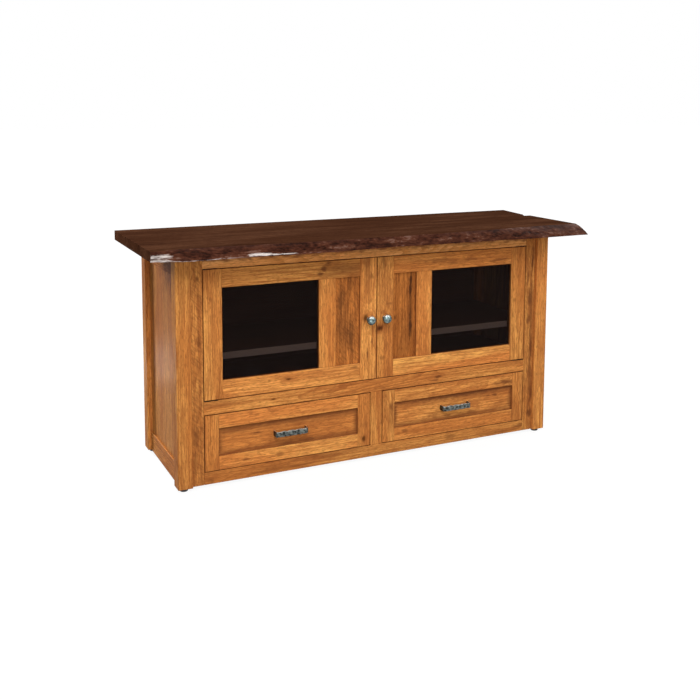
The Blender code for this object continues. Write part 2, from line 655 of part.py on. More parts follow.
def door(side, hand, parent):
    """A frame of five boards grooved round a pane and a small timber panel.

    Spans in x run from the cabinet's centre line outwards.
    """
    outer = OPENING - REVEAL
    low, high = DOOR_LOW + REVEAL, DOOR_HIGH - REVEAL
    meeting = MEETING_GAP / 2
    y = (FACE_FRONT, FACE_BACK)
    panel = (meeting + DOOR_MEETING_STILE, meeting + DOOR_MEETING_STILE + DOOR_PANEL_WIDTH)
    glass = (panel[1] + DOOR_MID_STILE, outer - DOOR_OUTER_STILE)
    sight = (low + DOOR_RAIL, high - DOOR_RAIL)
    panel_y = (FACE_FRONT + PANE_SINK, FACE_FRONT + PANE_SINK + DOOR_PANEL_THICK)
    glass_y = (FACE_FRONT + PANE_SINK, FACE_FRONT + PANE_SINK + GLASS_THICK)
    grooves = [(sided(side, *grown(glass, GROOVE)), grown(glass_y), grown(sight, GROOVE)),
               (sided(side, *grown(panel, GROOVE)), grown(panel_y), grown(sight, GROOVE))]
    rail_levels = {"bottom": (low, sight[0]), "top": (sight[1], high)}
    tenon_levels = {name: grown(levels, -2 * SHOULDER) for name, levels in rail_levels.items()}
    tenon_y = (TENON_FRONT, TENON_BACK)

    outer_cuts = grooves + [hinge_bore(side, low, 1), hinge_bore(side, high, -1)]
    meeting_cuts = grooves + [screw_hole(side * KNOB_FROM_CENTRE, KNOB_HEIGHT, *y)]
    deep = TENON + FIT
    for levels in tenon_levels.values():
        mortise = (grown(tenon_y), grown(levels))
        outer_cuts.append((sided(side, glass[1] - OVERCUT, glass[1] + deep), *mortise))
        meeting_cuts.append((sided(side, panel[0] - deep, panel[0] + OVERCUT), *mortise))
    boards = {"outer_stile": timber(sided(side, glass[1], outer), y, (low, high), (), outer_cuts),
              "meeting_stile": timber(sided(side, meeting, panel[0]), y, (low, high), (), meeting_cuts)}

    mid = (panel[1], glass[0])
    mid_tenon = (sided(side, *grown(mid, -2 * SHOULDER)), tenon_y, grown(sight, STUB_TENON))
    boards["mid_stile"] = timber(sided(side, *mid), y, grown(sight, -FIT), [mid_tenon], grooves)
    mid_mortise = tuple(grown(span) for span in mid_tenon)
    for name, levels in rail_levels.items():
        tenons = [(sided(side, panel[0] - TENON, panel[0] + BITE), tenon_y, tenon_levels[name]),
                  (sided(side, glass[1] - BITE, glass[1] + TENON), tenon_y, tenon_levels[name])]
        boards[f"{name}_rail"] = timber(sided(side, panel[0] + FIT, glass[1] - FIT), y, levels, tenons,
                                        grooves + [mid_mortise])
    for name, body in boards.items():
        node(f"door_{hand}_{name}", "case wood", body, parent)

    panes = (("panel", "panel wood", panel, panel_y), ("glass", "smoked glass", glass, glass_y))
    for name, look, span, thick in panes:
        body = box(sided(side, *grown(span, PANEL_TONGUE)), thick, grown(sight, PANEL_TONGUE))
        node(f"door_{hand}_{name}", look, body, parent)
    knob(side, hand, parent)


def hinge_bore(side, level, way):
    """The blind hole for a hinge pin in the end of a door's outer stile."""
    start, end = between(level - way * OVERCUT, level + way * (PIVOT_REACH + FIT))
    return rod(PIVOT_RADIUS + FIT, (side * PIVOT_X, PIVOT_Y, 0.0), "z", start, end)


# Drawers

def pull_places():
    """Distances from the centre line to a pull's two screws."""
    reach = (PULL_LENGTH - PULL_THICK) / 2
    return DRAWER_CENTRE_X - reach, DRAWER_CENTRE_X + reach


def drawer_front(side, hand, parent):
    """A framed front: two stiles, two rails and a sunk panel, glued up in one with fine joint lines."""
    x = sided(side, MULLION / 2 + REVEAL, OPENING - REVEAL)
    z = (DRAWER_LOW + REVEAL, DRAWER_HIGH - REVEAL)
    y = (FACE_FRONT, FACE_BACK)
    sight_x, sight_z = grown(x, -DRAWER_FRAME), grown(z, -DRAWER_FRAME)
    panel_y = (FACE_FRONT + DRAWER_PANEL_SINK, FACE_FRONT + DRAWER_PANEL_SINK + DRAWER_PANEL_THICK)
    front = timber(grown(sight_x, PANEL_TONGUE), panel_y, grown(sight_z, PANEL_TONGUE), (), (), 0.0)
    for levels in ((z[0], sight_z[0]), (sight_z[1], z[1])):
        tenon = (grown(sight_x, STUB_TENON), grown(panel_y, -FINE_EASE), grown(levels, -SHOULDER))
        front = shaped(front, timber(grown(sight_x, -FIT), y, levels, [tenon]), "UNION")
    for stile_x in ((x[0], sight_x[0]), (sight_x[1], x[1])):
        front = shaped(front, box(stile_x, y, z, EASE), "UNION")
    for place in pull_places():
        front = shaped(front, screw_hole(side * place, DRAWER_MIDDLE, *y), "DIFFERENCE")
    node(f"drawer_{hand}_front", "case wood", front, parent)


def drawer_box(side, hand, parent):
    """Sides, front and back glued up in one, over a sunk bottom that rides on the slide."""
    x = sided(side, MULLION / 2 + BOX_SIDE_GAP, OPENING - BOX_SIDE_GAP)
    y = (BOX_FRONT, BOX_REAR)
    z = (BOX_LOW, BOX_HIGH)
    inner_x, inner_y = grown(x, -BOX_SIDE), grown(y, -BOX_SIDE)
    bottom = (SLIDE_TOP + FIT, SLIDE_TOP + FIT + BOX_BOTTOM_THICK)
    cuts = [(inner_x, inner_y, (bottom[1], z[1] + OVERCUT)),
            (inner_x, inner_y, (z[0] - OVERCUT, bottom[0])),
            (middle(side * DRAWER_CENTRE_X, SLIDE_WIDTH + 2 * SLIDE_SIDE_GAP),
             (inner_y[1] - OVERCUT, y[1] + OVERCUT), (z[0] - OVERCUT, bottom[0]))]
    cuts += [screw_hole(side * place, DRAWER_MIDDLE, y[0], inner_y[0]) for place in pull_places()]
    body = timber(x, y, z, (), cuts, FINE_EASE)
    node(f"drawer_{hand}_box", "drawer wood", body, parent)


def pull(side, hand, parent):
    """A forged grip: one bar bent back to the wood at both ends, its edges left wavy, with its two screws."""
    face = FACE_FRONT + DRAWER_PANEL_SINK - FIT
    reach = (PULL_LENGTH - PULL_THICK) / 2
    stand = PULL_STANDS - PULL_THICK / 2
    end = [(-reach, 0.0, -1.0, 0.0), (-reach, stand - PULL_CORNER, -1.0, 0.0)]
    for step in range(1, PULL_BEND_STEPS):
        angle = math.pi / 2 * step / PULL_BEND_STEPS
        end.append((-reach + PULL_CORNER * (1 - math.cos(angle)), stand - PULL_CORNER * (1 - math.sin(angle)),
                    -math.cos(angle), math.sin(angle)))
    straight = reach - PULL_CORNER
    grip = [(straight * (2 * step / PULL_STEPS - 1), stand, 0.0, 1.0) for step in range(PULL_STEPS + 1)]
    path = end + grip + [(-across, out, -way_x, way_out) for across, out, way_x, way_out in reversed(end)]
    flat = PULL_FLAT
    section = [(-1, -flat), (-flat, -1), (flat, -1), (1, -flat), (1, flat), (flat, 1), (-flat, 1), (-1, flat)]
    rings = []
    for index, (across, out, way_x, way_out) in enumerate(path):
        wave = PULL_WAVE * math.sin(WAVE_TURN * index) if out == stand else 0.0
        ring = []
        for thick, up in section:
            off = thick * PULL_THICK / 2
            height = up * (PULL_HEIGHT / 2 + (wave if up > 0 else UNDER_WAVE * wave))
            ring.append(Vector((side * DRAWER_CENTRE_X + across + way_x * off, face - out - way_out * off,
                                DRAWER_MIDDLE + height)))
        rings.append(ring)
    body = rings_to_mesh(rings)
    for place in pull_places():
        shank = turned(screw_profile(BOX_FRONT + BOX_SIDE, face - BITE),
                       (side * place, 0.0, DRAWER_MIDDLE), "y", SMALL_ROUND)
        body = shaped(body, shank, "UNION")
    node(f"drawer_{hand}_pull", "dark iron", body, parent, smooth=True)


def slide_member(side, web, lip, half_width):
    """One channel of a slide; web and lip are the heights of its web's back and of its lips' ends."""
    y = (BOX_FRONT + BOX_SIDE + SLIDE_FRONT_GAP, BOX_REAR - SLIDE_REAR_GAP)
    x = middle(side * DRAWER_CENTRE_X, 2 * half_width)
    up = 1 if lip > web else -1
    hollow = (grown(x, -SLIDE_SHEET), grown(y, OVERCUT), between(web + up * SLIDE_SHEET, lip + up * OVERCUT))
    return shaped(box(x, y, between(web, lip)), box(*hollow), "DIFFERENCE")


def drawer(side, hand, cabinet):
    place = (side * DRAWER_CENTRE_X, FACE_FRONT, DRAWER_MIDDLE)
    carried = carrier(f"drawer_{hand}_carrier", place, cabinet)
    carried["travel"] = DRAWER_TRAVEL
    drawer_front(side, hand, carried)
    drawer_box(side, hand, carried)
    pull(side, hand, carried)
    half = SLIDE_WIDTH / 2
    step = SLIDE_SHEET + PLAY
    web = DRAWER_LOW + FIT
    node(f"drawer_{hand}_case_slide", "zinc", slide_member(side, web, web + SLIDE_LIP, half), cabinet)
    web += SLIDE_WEB_STEP
    between_members = carrier(f"drawer_{hand}_middle_carrier", place, cabinet)
    between_members["travel"] = DRAWER_TRAVEL / 2
    node(f"drawer_{hand}_middle_slide", "zinc", slide_member(side, web, web + SLIDE_LIP, half - step),
         between_members)
    drawer_member = slide_member(side, SLIDE_TOP, SLIDE_TOP - SLIDE_LIP, half - 2 * step)
    node(f"drawer_{hand}_slide", "zinc", drawer_member, carried)


# Feet

def foot(side, hand, rear, place, cabinet):
    """A levelling foot that screws up into its post."""
    y = CASE_DEPTH - POST / 2 if rear else POST / 2
    centre = (side * FOOT_CENTRE_X, y, 0.0)
    neck = FOOT_SHOWS - FIT
    profile = [(FOOT_RADIUS - FOOT_EDGE, 0.0), (FOOT_RADIUS, FOOT_EDGE), (FOOT_RADIUS, FOOT_PAD - FOOT_EDGE),
               (FOOT_RADIUS - FOOT_EDGE, FOOT_PAD), (FOOT_NECK_RADIUS, FOOT_PAD), (FOOT_NECK_RADIUS, neck),
               (STEM_RADIUS, neck), (STEM_RADIUS, FOOT_SHOWS + STEM_REACH)]
    turning = carrier(f"foot_{place}_{hand}_carrier", centre, cabinet)
    node(f"foot_{place}_{hand}", "black", turned(profile, centre, "z"), turning, smooth=True)


def plan_centre(piece):
    """The middle of a piece's plan, in the case's frame."""
    spans = [[corner.co[axis] for corner in piece.data.vertices] for axis in (0, 1)]
    return [(min(span) + max(span)) / 2 for span in spans]


def build():
    for item in list(bpy.data.objects):
        bpy.data.objects.remove(item)
    cabinet = carrier("cabinet", (0.0, 0.0, 0.0))
    centre_x, centre_y = plan_centre(live_edge_top(cabinet))
    cabinet.location = (-centre_x, -centre_y, 0.0)
    for make in (posts, side_frames, face_frame, inner_boards, back_panel, shelves, hinge_plates, door_catch):
        make(cabinet)
    for side, hand in ((-1, "left"), (1, "right")):
        door(side, hand, carrier(f"door_{hand}_pivot", (side * PIVOT_X, PIVOT_Y, DOOR_LOW), cabinet))
        drawer(side, hand, cabinet)
        for rear, place in ((False, "front"), (True, "rear")):
            foot(side, hand, rear, place, cabinet)


build()
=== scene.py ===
"""Looks of the live-edge television cabinet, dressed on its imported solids.

Lengths are metres, +Z is up and the front faces -Y, as in the frame. Boards keep their solids and get
a lacquered timber each, with its own grain. The slab with its tree edge, the knobs, the pulls and the
drawer fronts are made again here in finer form, and stand for their nodes.
"""

import json
import math

import bmesh
import bpy
from mathutils import Matrix, Vector, noise
from mathutils.bvhtree import BVHTree

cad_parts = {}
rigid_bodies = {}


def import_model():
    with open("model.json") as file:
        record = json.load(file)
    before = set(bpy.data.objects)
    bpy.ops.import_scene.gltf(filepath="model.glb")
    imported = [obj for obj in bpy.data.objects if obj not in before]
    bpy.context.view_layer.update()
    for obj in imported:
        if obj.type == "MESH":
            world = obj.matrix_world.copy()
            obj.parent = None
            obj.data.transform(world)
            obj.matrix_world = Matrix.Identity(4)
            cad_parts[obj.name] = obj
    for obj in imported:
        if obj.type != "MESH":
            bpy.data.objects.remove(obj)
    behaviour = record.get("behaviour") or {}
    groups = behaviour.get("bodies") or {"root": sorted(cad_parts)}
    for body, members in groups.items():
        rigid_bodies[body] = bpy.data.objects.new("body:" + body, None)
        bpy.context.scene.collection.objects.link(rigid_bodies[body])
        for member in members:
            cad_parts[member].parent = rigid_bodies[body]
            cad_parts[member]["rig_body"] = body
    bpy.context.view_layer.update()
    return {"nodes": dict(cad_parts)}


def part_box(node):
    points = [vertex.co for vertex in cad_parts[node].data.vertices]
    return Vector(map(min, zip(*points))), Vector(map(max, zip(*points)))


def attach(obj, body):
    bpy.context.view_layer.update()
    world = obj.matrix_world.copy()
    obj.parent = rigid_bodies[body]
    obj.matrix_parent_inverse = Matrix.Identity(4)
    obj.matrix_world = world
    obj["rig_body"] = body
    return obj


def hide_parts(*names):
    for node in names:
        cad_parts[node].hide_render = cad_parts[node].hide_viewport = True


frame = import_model()
NODES = frame["nodes"]

# The cabinet's own reference lines, from its solids
CASE_LOW, CASE_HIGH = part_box("face_rail_middle")
CENTRE_X = (CASE_LOW.x + CASE_HIGH.x) / 2
FRONT_Y = CASE_LOW.y

# Camera
CAMERA_PLACE = (-1.4658, -2.9986, 1.2204)
CAMERA_YAW = 25.47          # degrees, towards +X from looking along +Y
CAMERA_PITCH = 6.38         # degrees, down
CAMERA_ROLL = 0.235
CAMERA_LENS = 48.97         # mm, on a 36 mm sensor
CAMERA_SHIFT = -0.2

# Lamps: name, place, side of the square and watts
LAMPS = (("key", (-1.5, -2.7, 3.6), 2.2, 120.0), ("fill", (2.6, -3.2, 2.6), 2.6, 57.0),
         ("front", (-1.4, -4.2, 0.9), 1.6, 57.0), ("side", (-1.6, 3.0, 1.27), 0.35, 126.0),
         ("sheen", (-0.956, 0.9, 0.125), 0.16, 0.5), ("right", (3.4, 1.0, 1.3), 1.8, 60.0))
LAMP_AIM = (0.0, 0.0, 0.4)
WHITE = (1.0, 1.0, 1.0, 1.0)
SURROUND_FILL = 0.14        # how strongly the white surround lights the cabinet

# Floor
FLOOR_REACH = 40.0
FLOOR_SEEN = (0.86, 0.86, 0.86, 1.0)    # its paint, as it is seen
FLOOR_GIVES = (0.25, 0.25, 0.25, 1.0)   # and as it lights the cabinet
FLOOR_GLOW = 0.88           # how much of its white is its own, so that the shadow on it stays faint
FLOOR_GLOW_STRENGTH = 1.05
FLOOR_FADE = (1.0, 2.6)     # distances over which all of its white becomes its own

# Slab
SLAB_STATIONS = 560         # across its length
EDGE_ROWS = 18              # down the tree edge
TOP_ROWS = 8                # from the notch to the tree edge
END_MARGINS = (0.014, 0.018)    # kept from its left and right ends where its front is measured
SKIN = 0.0002               # and from its upper and lower faces
NOTCH_FROM_REAR = 0.207     # where the slab's two boards meet at the right end
NOTCH_SLANT = 0.003
NOTCH_BITE = 0.015          # how much deeper the saw went in there than a straight end
NOTCH_RUN = 0.035           # and over what length
BROW_WANDER = 0.0035        # how far the flat top's edge strays from a smooth line
EDGE_RELIEF = 0.0030        # of the tree's own surface
# Painted highlights on the tree edge, as pale patches: distance from the centre line and half width, level
# and half height as shares of the edge, and strength. The last is a thin line along the lip.
PAINTED_HIGHLIGHTS = ((-0.770, 0.048, 0.92, 0.20, 1.0), (-0.775, 0.062, 0.52, 0.38, 0.82),
                (-0.455, 0.050, 0.80, 0.17, 1.0), (-0.38, 0.06, 0.85, 0.08, 1.0),
                (-0.625, 0.026, 0.25, 0.05, 0.55), (-0.64, 0.17, 0.97, 0.045, 0.9))

# Inside
LIT_EDGE_DEPTH = 0.0015         # of the strip of painted light on a shelf's front edge

# Hammered metal
MARK_RIM = 0.7              # distance from a hammer mark's middle to its rim, as a share of the spacing
KNOB_MARK = 0.0042          # from one hammer mark to the next
KNOB_MARK_DEPTH = 0.00035
KNOB_FORM = ((0.55, 0.0), (0.56, 0.07), (0.39, 0.18), (0.38, 0.28), (0.64, 0.42), (0.93, 0.53), (1.0, 0.63),
             (0.95, 0.73), (0.76, 0.87), (0.42, 0.97), (0.0, 1.0))   # shares of its radius and its height
KNOB_SIDES = 64
KNOB_RINGS = 44
KNOB_PLAIN = 0.3            # share of its height that isn't hammered
KNOB_GAP = 0.0003           # between its foot and the stile
PULL_MARK = 0.0062          # coarser than real, so that it shows
PULL_MARK_DEPTH = 0.0007
PULL_VOXEL = 0.0008

# Screws of the back panel
SCREW_INSET = 0.024
SCREW_SIZES = {"Spacing": 0.145, "Head Radius": 0.004, "Head Height": 0.0016, "Recess Length": 0.0044,
               "Recess Width": 0.0010}

# Drawer front
DRAWER_FRAME = 0.046
DRAWER_PANEL_SINK = 0.008
DRAWER_PANEL_THICK = 0.010
PANEL_LIP = 0.005           # of the panel, in the frame's groove
ARRIS = 0.0009


# Colours and nodes

def colour(code, shade=1.0):
    """An sRGB hex value as linear red, green, blue and alpha; shade scales its brightness."""
    parts = [int(code[i:i + 2], 16) / 255 for i in (1, 3, 5)]
    linear = [part / 12.92 if part <= 0.04045 else ((part + 0.055) / 1.055) ** 2.4 for part in parts]
    return tuple(min(1.0, part * shade) for part in linear) + (1.0,)


def connect(tree, node, inputs):
    """Each input socket gets its value, or a link from the node or socket given for it."""
    for socket, value in inputs.items():
        if isinstance(value, bpy.types.Node):
            value = next(output for output in value.outputs if output.enabled)
        if isinstance(value, bpy.types.NodeSocket):
            tree.links.new(value, node.inputs[socket])
        else:
            node.inputs[socket].default_value = value


def add(tree, kind, inputs=None, **settings):
    """A node with its settings and its inputs."""
    made = tree.nodes.new(kind)
    for name, value in settings.items():
        setattr(made, name, value)
    connect(tree, made, inputs or {})
    return made


def new_material(name):
    """A material with its tree and its Principled surface."""
    material = bpy.data.materials.new(name)
    material.use_nodes = True
    tree = material.node_tree
    return material, tree, tree.nodes["Principled BSDF"]


def set_ramp(ramp, stops):
    """Colour stops on a ramp node: pairs of place and linear colour."""
    band = ramp.color_ramp
    while len(band.elements) < len(stops):
        band.elements.new(0.5)
    for element, (place, tone) in zip(band.elements, stops):
        element.position = place
        element.color = tone


# Timber

GRAIN_TURN = {"x": (0.0, 0.0, 0.0), "y": (0.0, 0.0, -math.pi / 2), "z": (0.0, math.pi / 2, 0.0)}
# Tones: honey for the case, doors and drawers, pale for the top rail, heartwood for the doors' small
# panels, walnut for the slab, stained for the boards inside and maple for the drawer boxes
# The streak tone also serves as painted shade and painted shadows: in marks, along sunk panels and on board
# sides.
HONEY = {"light": "#F0A757", "mid": "#D88944", "dark": "#A05B2E", "streak": "#6F4025", "knot": "#371B0D"}
PALE = {"light": "#FFC07A", "mid": "#FFAF65", "dark": "#CF8444", "streak": "#8A5532", "knot": "#371B0D"}
HEARTWOOD = {"light": "#CD7E3C", "mid": "#B2682F", "dark": "#7C4522", "streak": "#4C2D1B", "knot": "#3A2010"}
WALNUT = {"light": "#6E4833", "mid": "#583624", "dark": "#45281B", "streak": "#2E1810", "knot": "#1A0D08"}
STAINED = {"light": "#6A4430", "mid": "#583625", "dark": "#46291B", "streak": "#352015", "knot": "#2A1810"}
MAPLE = {"light": "#EBD3B4", "mid": "#E0C29E", "dark": "#CFAD84", "streak": "#B88E5C", "knot": "#8F6538"}
CURL_SLANT = 0.75           # radians between the grain and the strokes of a curl
# Each grain field: cells per metre along and across the board, and detail. Pores and fibre are drawn
# coarser than real, so that they show.
GRAIN = {
    "arch": (1.3, 8.0, 1.0),
    "waver": (12.0, 80.0, 2.0),
    "plain": (1.9, 8.0, 1.0),
    "cloud": (2.2, 13.0, 3.0),
    "mottle": (15.0, 46.0, 3.0),
    "lines": (4.0, 170.0, 2.0),
    "fibre": (20.0, 360.0, 2.0),
    "pores": (65.0, 440.0, 2.0),
    "curl": (45.0, 190.0, 2.0),
    "seams": (2.2, 26.0, 3.0),
    "ragged": (40.0, 130.0, 3.0),
}
# Marks and knots, by distance from the middle as a share of the half sizes: where they start to show and
# are full, and for a knot how strongly
MARK_SHOWS = (1.25, 0.25)
KNOT_HALO_SHOWS = (2.4, 0.9, 0.5)
KNOT_SHOWS = (1.2, 0.2, 0.8)
KNOT_REACH = 3.6            # how far out growth rings bend round a knot
KNOT_RINGS = 3.2            # and how many of them
RAGGED = 0.55               # how far the outlines of marks and knots stray
SIDES_SHADE = 0.75           # painted shade on a board's sides, for the shade in the reveals between parts: how much darker
SUNK_SHADE_WIDTH = 0.022           # width of the painted shade along the edges of a sunk panel
SUNK_SHADE_STRENGTH = 0.72            # and its strength
SUNK_SHADE_TOP = 0.55             # the painted shade is wider along the top, below the rail, where distance counts by this share
SUNK_STRAY = 0.004
SLAB_SHADOW_PAINT = ((0.0, 0.750, 3.0, 0.026, 1.0),)           # mark: painted shadow along the rail below the slab
OVERHANG_SHADOW_PAINT = ((0.05, 0.69, 0.19, 0.085, 0.95),)     # mark: painted shadow in the top front corner of a side, below the slab


def grain_fields(tree, place, along, seed):
    """Noise drawn out along the board; each seed cuts the board from another place of it."""
    shift = (seed * 3.17 % 7.3, seed * 1.73 % 5.1, seed * 2.39 % 6.7)
    board = add(tree, "ShaderNodeMapping", {"Vector": place, "Rotation": GRAIN_TURN[along],
                                            "Location": shift})
    slanted = add(tree, "ShaderNodeMapping", {"Vector": board, "Rotation": (0.0, CURL_SLANT, 0.0)})
    grain = {}
    for field, (lengthwise, across, detail) in GRAIN.items():
        lie = slanted if field == "curl" else board
        stretched = add(tree, "ShaderNodeVectorMath", {0: lie, 1: (lengthwise, across, across)},
                        operation="MULTIPLY")
        grain[field] = add(tree, "ShaderNodeTexNoise", {"Vector": stretched, "Scale": 1.0, "Detail": detail})
    return grain


def from_spot(tree, place, spot, flank, ragged):
    """Distance from a mark's or knot's middle, as a share of its half sizes, with a ragged outline."""
    x, z, wide, high = spot
    middle = (0.0, FRONT_Y + x, z) if flank else (CENTRE_X + x, 0.0, z)
    size = (0.0, 1 / wide, 1 / high) if flank else (1 / wide, 0.0, 1 / high)
    far = add(tree, "ShaderNodeVectorMath", {0: place, 1: middle}, operation="SUBTRACT")
    far = add(tree, "ShaderNodeVectorMath", {0: far, 1: size}, operation="MULTIPLY")
    far = add(tree, "ShaderNodeVectorMath", {0: far}, operation="LENGTH")
    return add(tree, "ShaderNodeMath", {0: far, 1: ragged})


def from_sunk_edge(tree, place, sunk, ragged):
    """Distance inward from the nearest edge of a sunk panel, given by its middle and half sizes."""
    x, z, wide, high = sunk
    apart = add(tree, "ShaderNodeVectorMath", {0: place, 1: (CENTRE_X + x, 0.0, z)}, operation="SUBTRACT")
    apart = add(tree, "ShaderNodeSeparateXYZ", {0: apart}).outputs
    beside = add(tree, "ShaderNodeMath", {0: apart["X"]}, operation="ABSOLUTE")
    beside = add(tree, "ShaderNodeMath", {0: wide, 1: beside}, operation="SUBTRACT")
    over = add(tree, "ShaderNodeMath", {0: apart["Z"], 1: -SUNK_SHADE_TOP, 2: high * SUNK_SHADE_TOP},
               operation="MULTIPLY_ADD")
    under = add(tree, "ShaderNodeMath", {0: high, 1: apart["Z"]})
    inward = add(tree, "ShaderNodeMath", {0: over, 1: under}, operation="MINIMUM")
    inward = add(tree, "ShaderNodeMath", {0: inward, 1: beside}, operation="MINIMUM")
    return add(tree, "ShaderNodeMath", {0: ragged, 1: SUNK_STRAY, 2: inward}, operation="MULTIPLY_ADD")


def lacquered_timber(name, tones, along, seed, shade=1.0, rings=20.0, figure=0.5, mottle=0.3, streaks=0.3,
                     curl=0.0, knots=(), marks=(), flank=False, sunk=None, band=None, sides=0.0,
                     roughness=0.36, specular=0.015):
    """Lacquered hardwood: growth rings in long flames, short pores, streaks and knots under a satin film.

    The grain runs along the board, so each board shows its own direction; a curl shows as short slanting
    strokes. Knots and marks lie on the cabinet's front: distance from the centre line, height, half width,
    half height and, for a mark, its strength. On a flank the first is the depth behind the front. Growth
    rings bend round a knot. A sunk panel gets painted shade along its edges, and the sides of a board get
    painted shade too, for the shade in the reveals between parts. A band is a strip of another tone in
    front of a depth: painted light on a shelf's front edge.
    """
    material, tree, surface = new_material(name)
    coordinates = add(tree, "ShaderNodeTexCoord").outputs
    place = coordinates["Object"]
    grain = grain_fields(tree, place, along, seed)
    ragged = add(tree, "ShaderNodeMapRange", {"Value": grain["ragged"], "From Min": 0.2, "From Max": 0.8,
                                              "To Min": -RAGGED, "To Max": RAGGED})
    field = add(tree, "ShaderNodeMath", {0: grain["waver"], 1: 0.5}, operation="MULTIPLY")
    field = add(tree, "ShaderNodeMath", {0: grain["arch"], 1: rings, 2: field}, operation="MULTIPLY_ADD")
    spots = []
    for *spot, strength in marks:
        far = from_spot(tree, place, spot, flank, ragged)
        spots.append((far, *MARK_SHOWS, strength, "streak"))
    for spot in knots:
        far = from_spot(tree, place, spot, flank, ragged)
        spots.append((far, *KNOT_HALO_SHOWS, "dark"))
        spots.append((far, *KNOT_SHOWS, "knot"))
        bent = add(tree, "ShaderNodeMapRange", {"Value": far, "From Max": KNOT_REACH, "To Min": KNOT_RINGS,
                                                "To Max": 0.0})
        field = add(tree, "ShaderNodeMath", {0: field, 1: bent})
    ring = add(tree, "ShaderNodeMath", {0: field}, operation="FRACT")
    late = add(tree, "ShaderNodeMapRange", {"Value": ring, "From Min": 0.25, "From Max": 0.95})
    plain = add(tree, "ShaderNodeMapRange", {"Value": grain["plain"], "From Min": 0.35, "From Max": 0.62,
                                             "To Min": figure * 0.2, "To Max": figure})
    grain["rings"] = add(tree, "ShaderNodeMath", {0: late, 1: plain}, operation="MULTIPLY")

    # Tones laid over one another: field, where it starts and is full, its strength and the tone
    layers = [(grain["cloud"], 0.36, 0.62, 1.0, "mid"), (grain["rings"], 0.0, 1.0, 1.0, "dark"),
              (grain["mottle"], 0.42, 0.75, mottle, "dark"), (grain["lines"], 0.4, 0.66, 0.55, "dark"),
              (grain["fibre"], 0.4, 0.66, 0.55, "dark"), (grain["pores"], 0.5, 0.66, 0.45, "streak"),
              (grain["seams"], 0.56, 0.7, streaks, "streak"), (grain["curl"], 0.46, 0.62, curl, "streak")]
    layers += spots
    # Painted shade along the edges of a sunk panel, wider below its top rail
    if sunk:
        layers.append((from_sunk_edge(tree, place, sunk, ragged), SUNK_SHADE_WIDTH, 0.0, SUNK_SHADE_STRENGTH, "streak"))
    # Painted shade on the sides of a board, for the shade in the reveals between parts
    if sides:
        facing = add(tree, "ShaderNodeVectorMath", {0: coordinates["Normal"]}, operation="ABSOLUTE")
        facing = add(tree, "ShaderNodeSeparateXYZ", {0: facing}).outputs["Y"]
        layers.append((facing, 0.8, 0.1, sides, "streak"))
    tone = None
    for value, start, full, strength, key in layers:
        if not strength:
            continue
        share = add(tree, "ShaderNodeMapRange", {"Value": value, "From Min": start, "From Max": full,
                                                 "To Max": strength}, interpolation_type="SMOOTHSTEP")
        below = tone or colour(tones["light"], shade)
        tone = add(tree, "ShaderNodeMix", {0: share, 6: below, 7: colour(tones[key], shade)},
                   data_type="RGBA")
    if band:
        depth = add(tree, "ShaderNodeSeparateXYZ", {0: place}).outputs["Y"]
        share = add(tree, "ShaderNodeMath", {0: depth, 1: band[0]}, operation="LESS_THAN")
        tone = add(tree, "ShaderNodeMix", {0: share, 6: tone, 7: colour(band[1])}, data_type="RGBA")

    film = add(tree, "ShaderNodeMapRange", {"Value": grain["fibre"], "From Min": 0.3, "From Max": 0.7,
                                            "To Min": roughness - 0.05, "To Max": roughness + 0.07})
    height = add(tree, "ShaderNodeMath", {0: grain["fibre"], 1: 0.8, 2: ring}, operation="MULTIPLY_ADD")
    relief = add(tree, "ShaderNodeBump", {"Height": height, "Strength": 0.2, "Distance": 0.0003})
    connect(tree, surface, {"Base Color": tone, "Roughness": film, "Normal": relief,
                            "Specular IOR Level": specular})
    return material


def dress(name, *args, **kwargs):
    """Gives a board's node a timber of its own."""
    materials = NODES[name].data.materials
    materials.clear()
    materials.append(lacquered_timber(name + "_timber", *args, **kwargs))


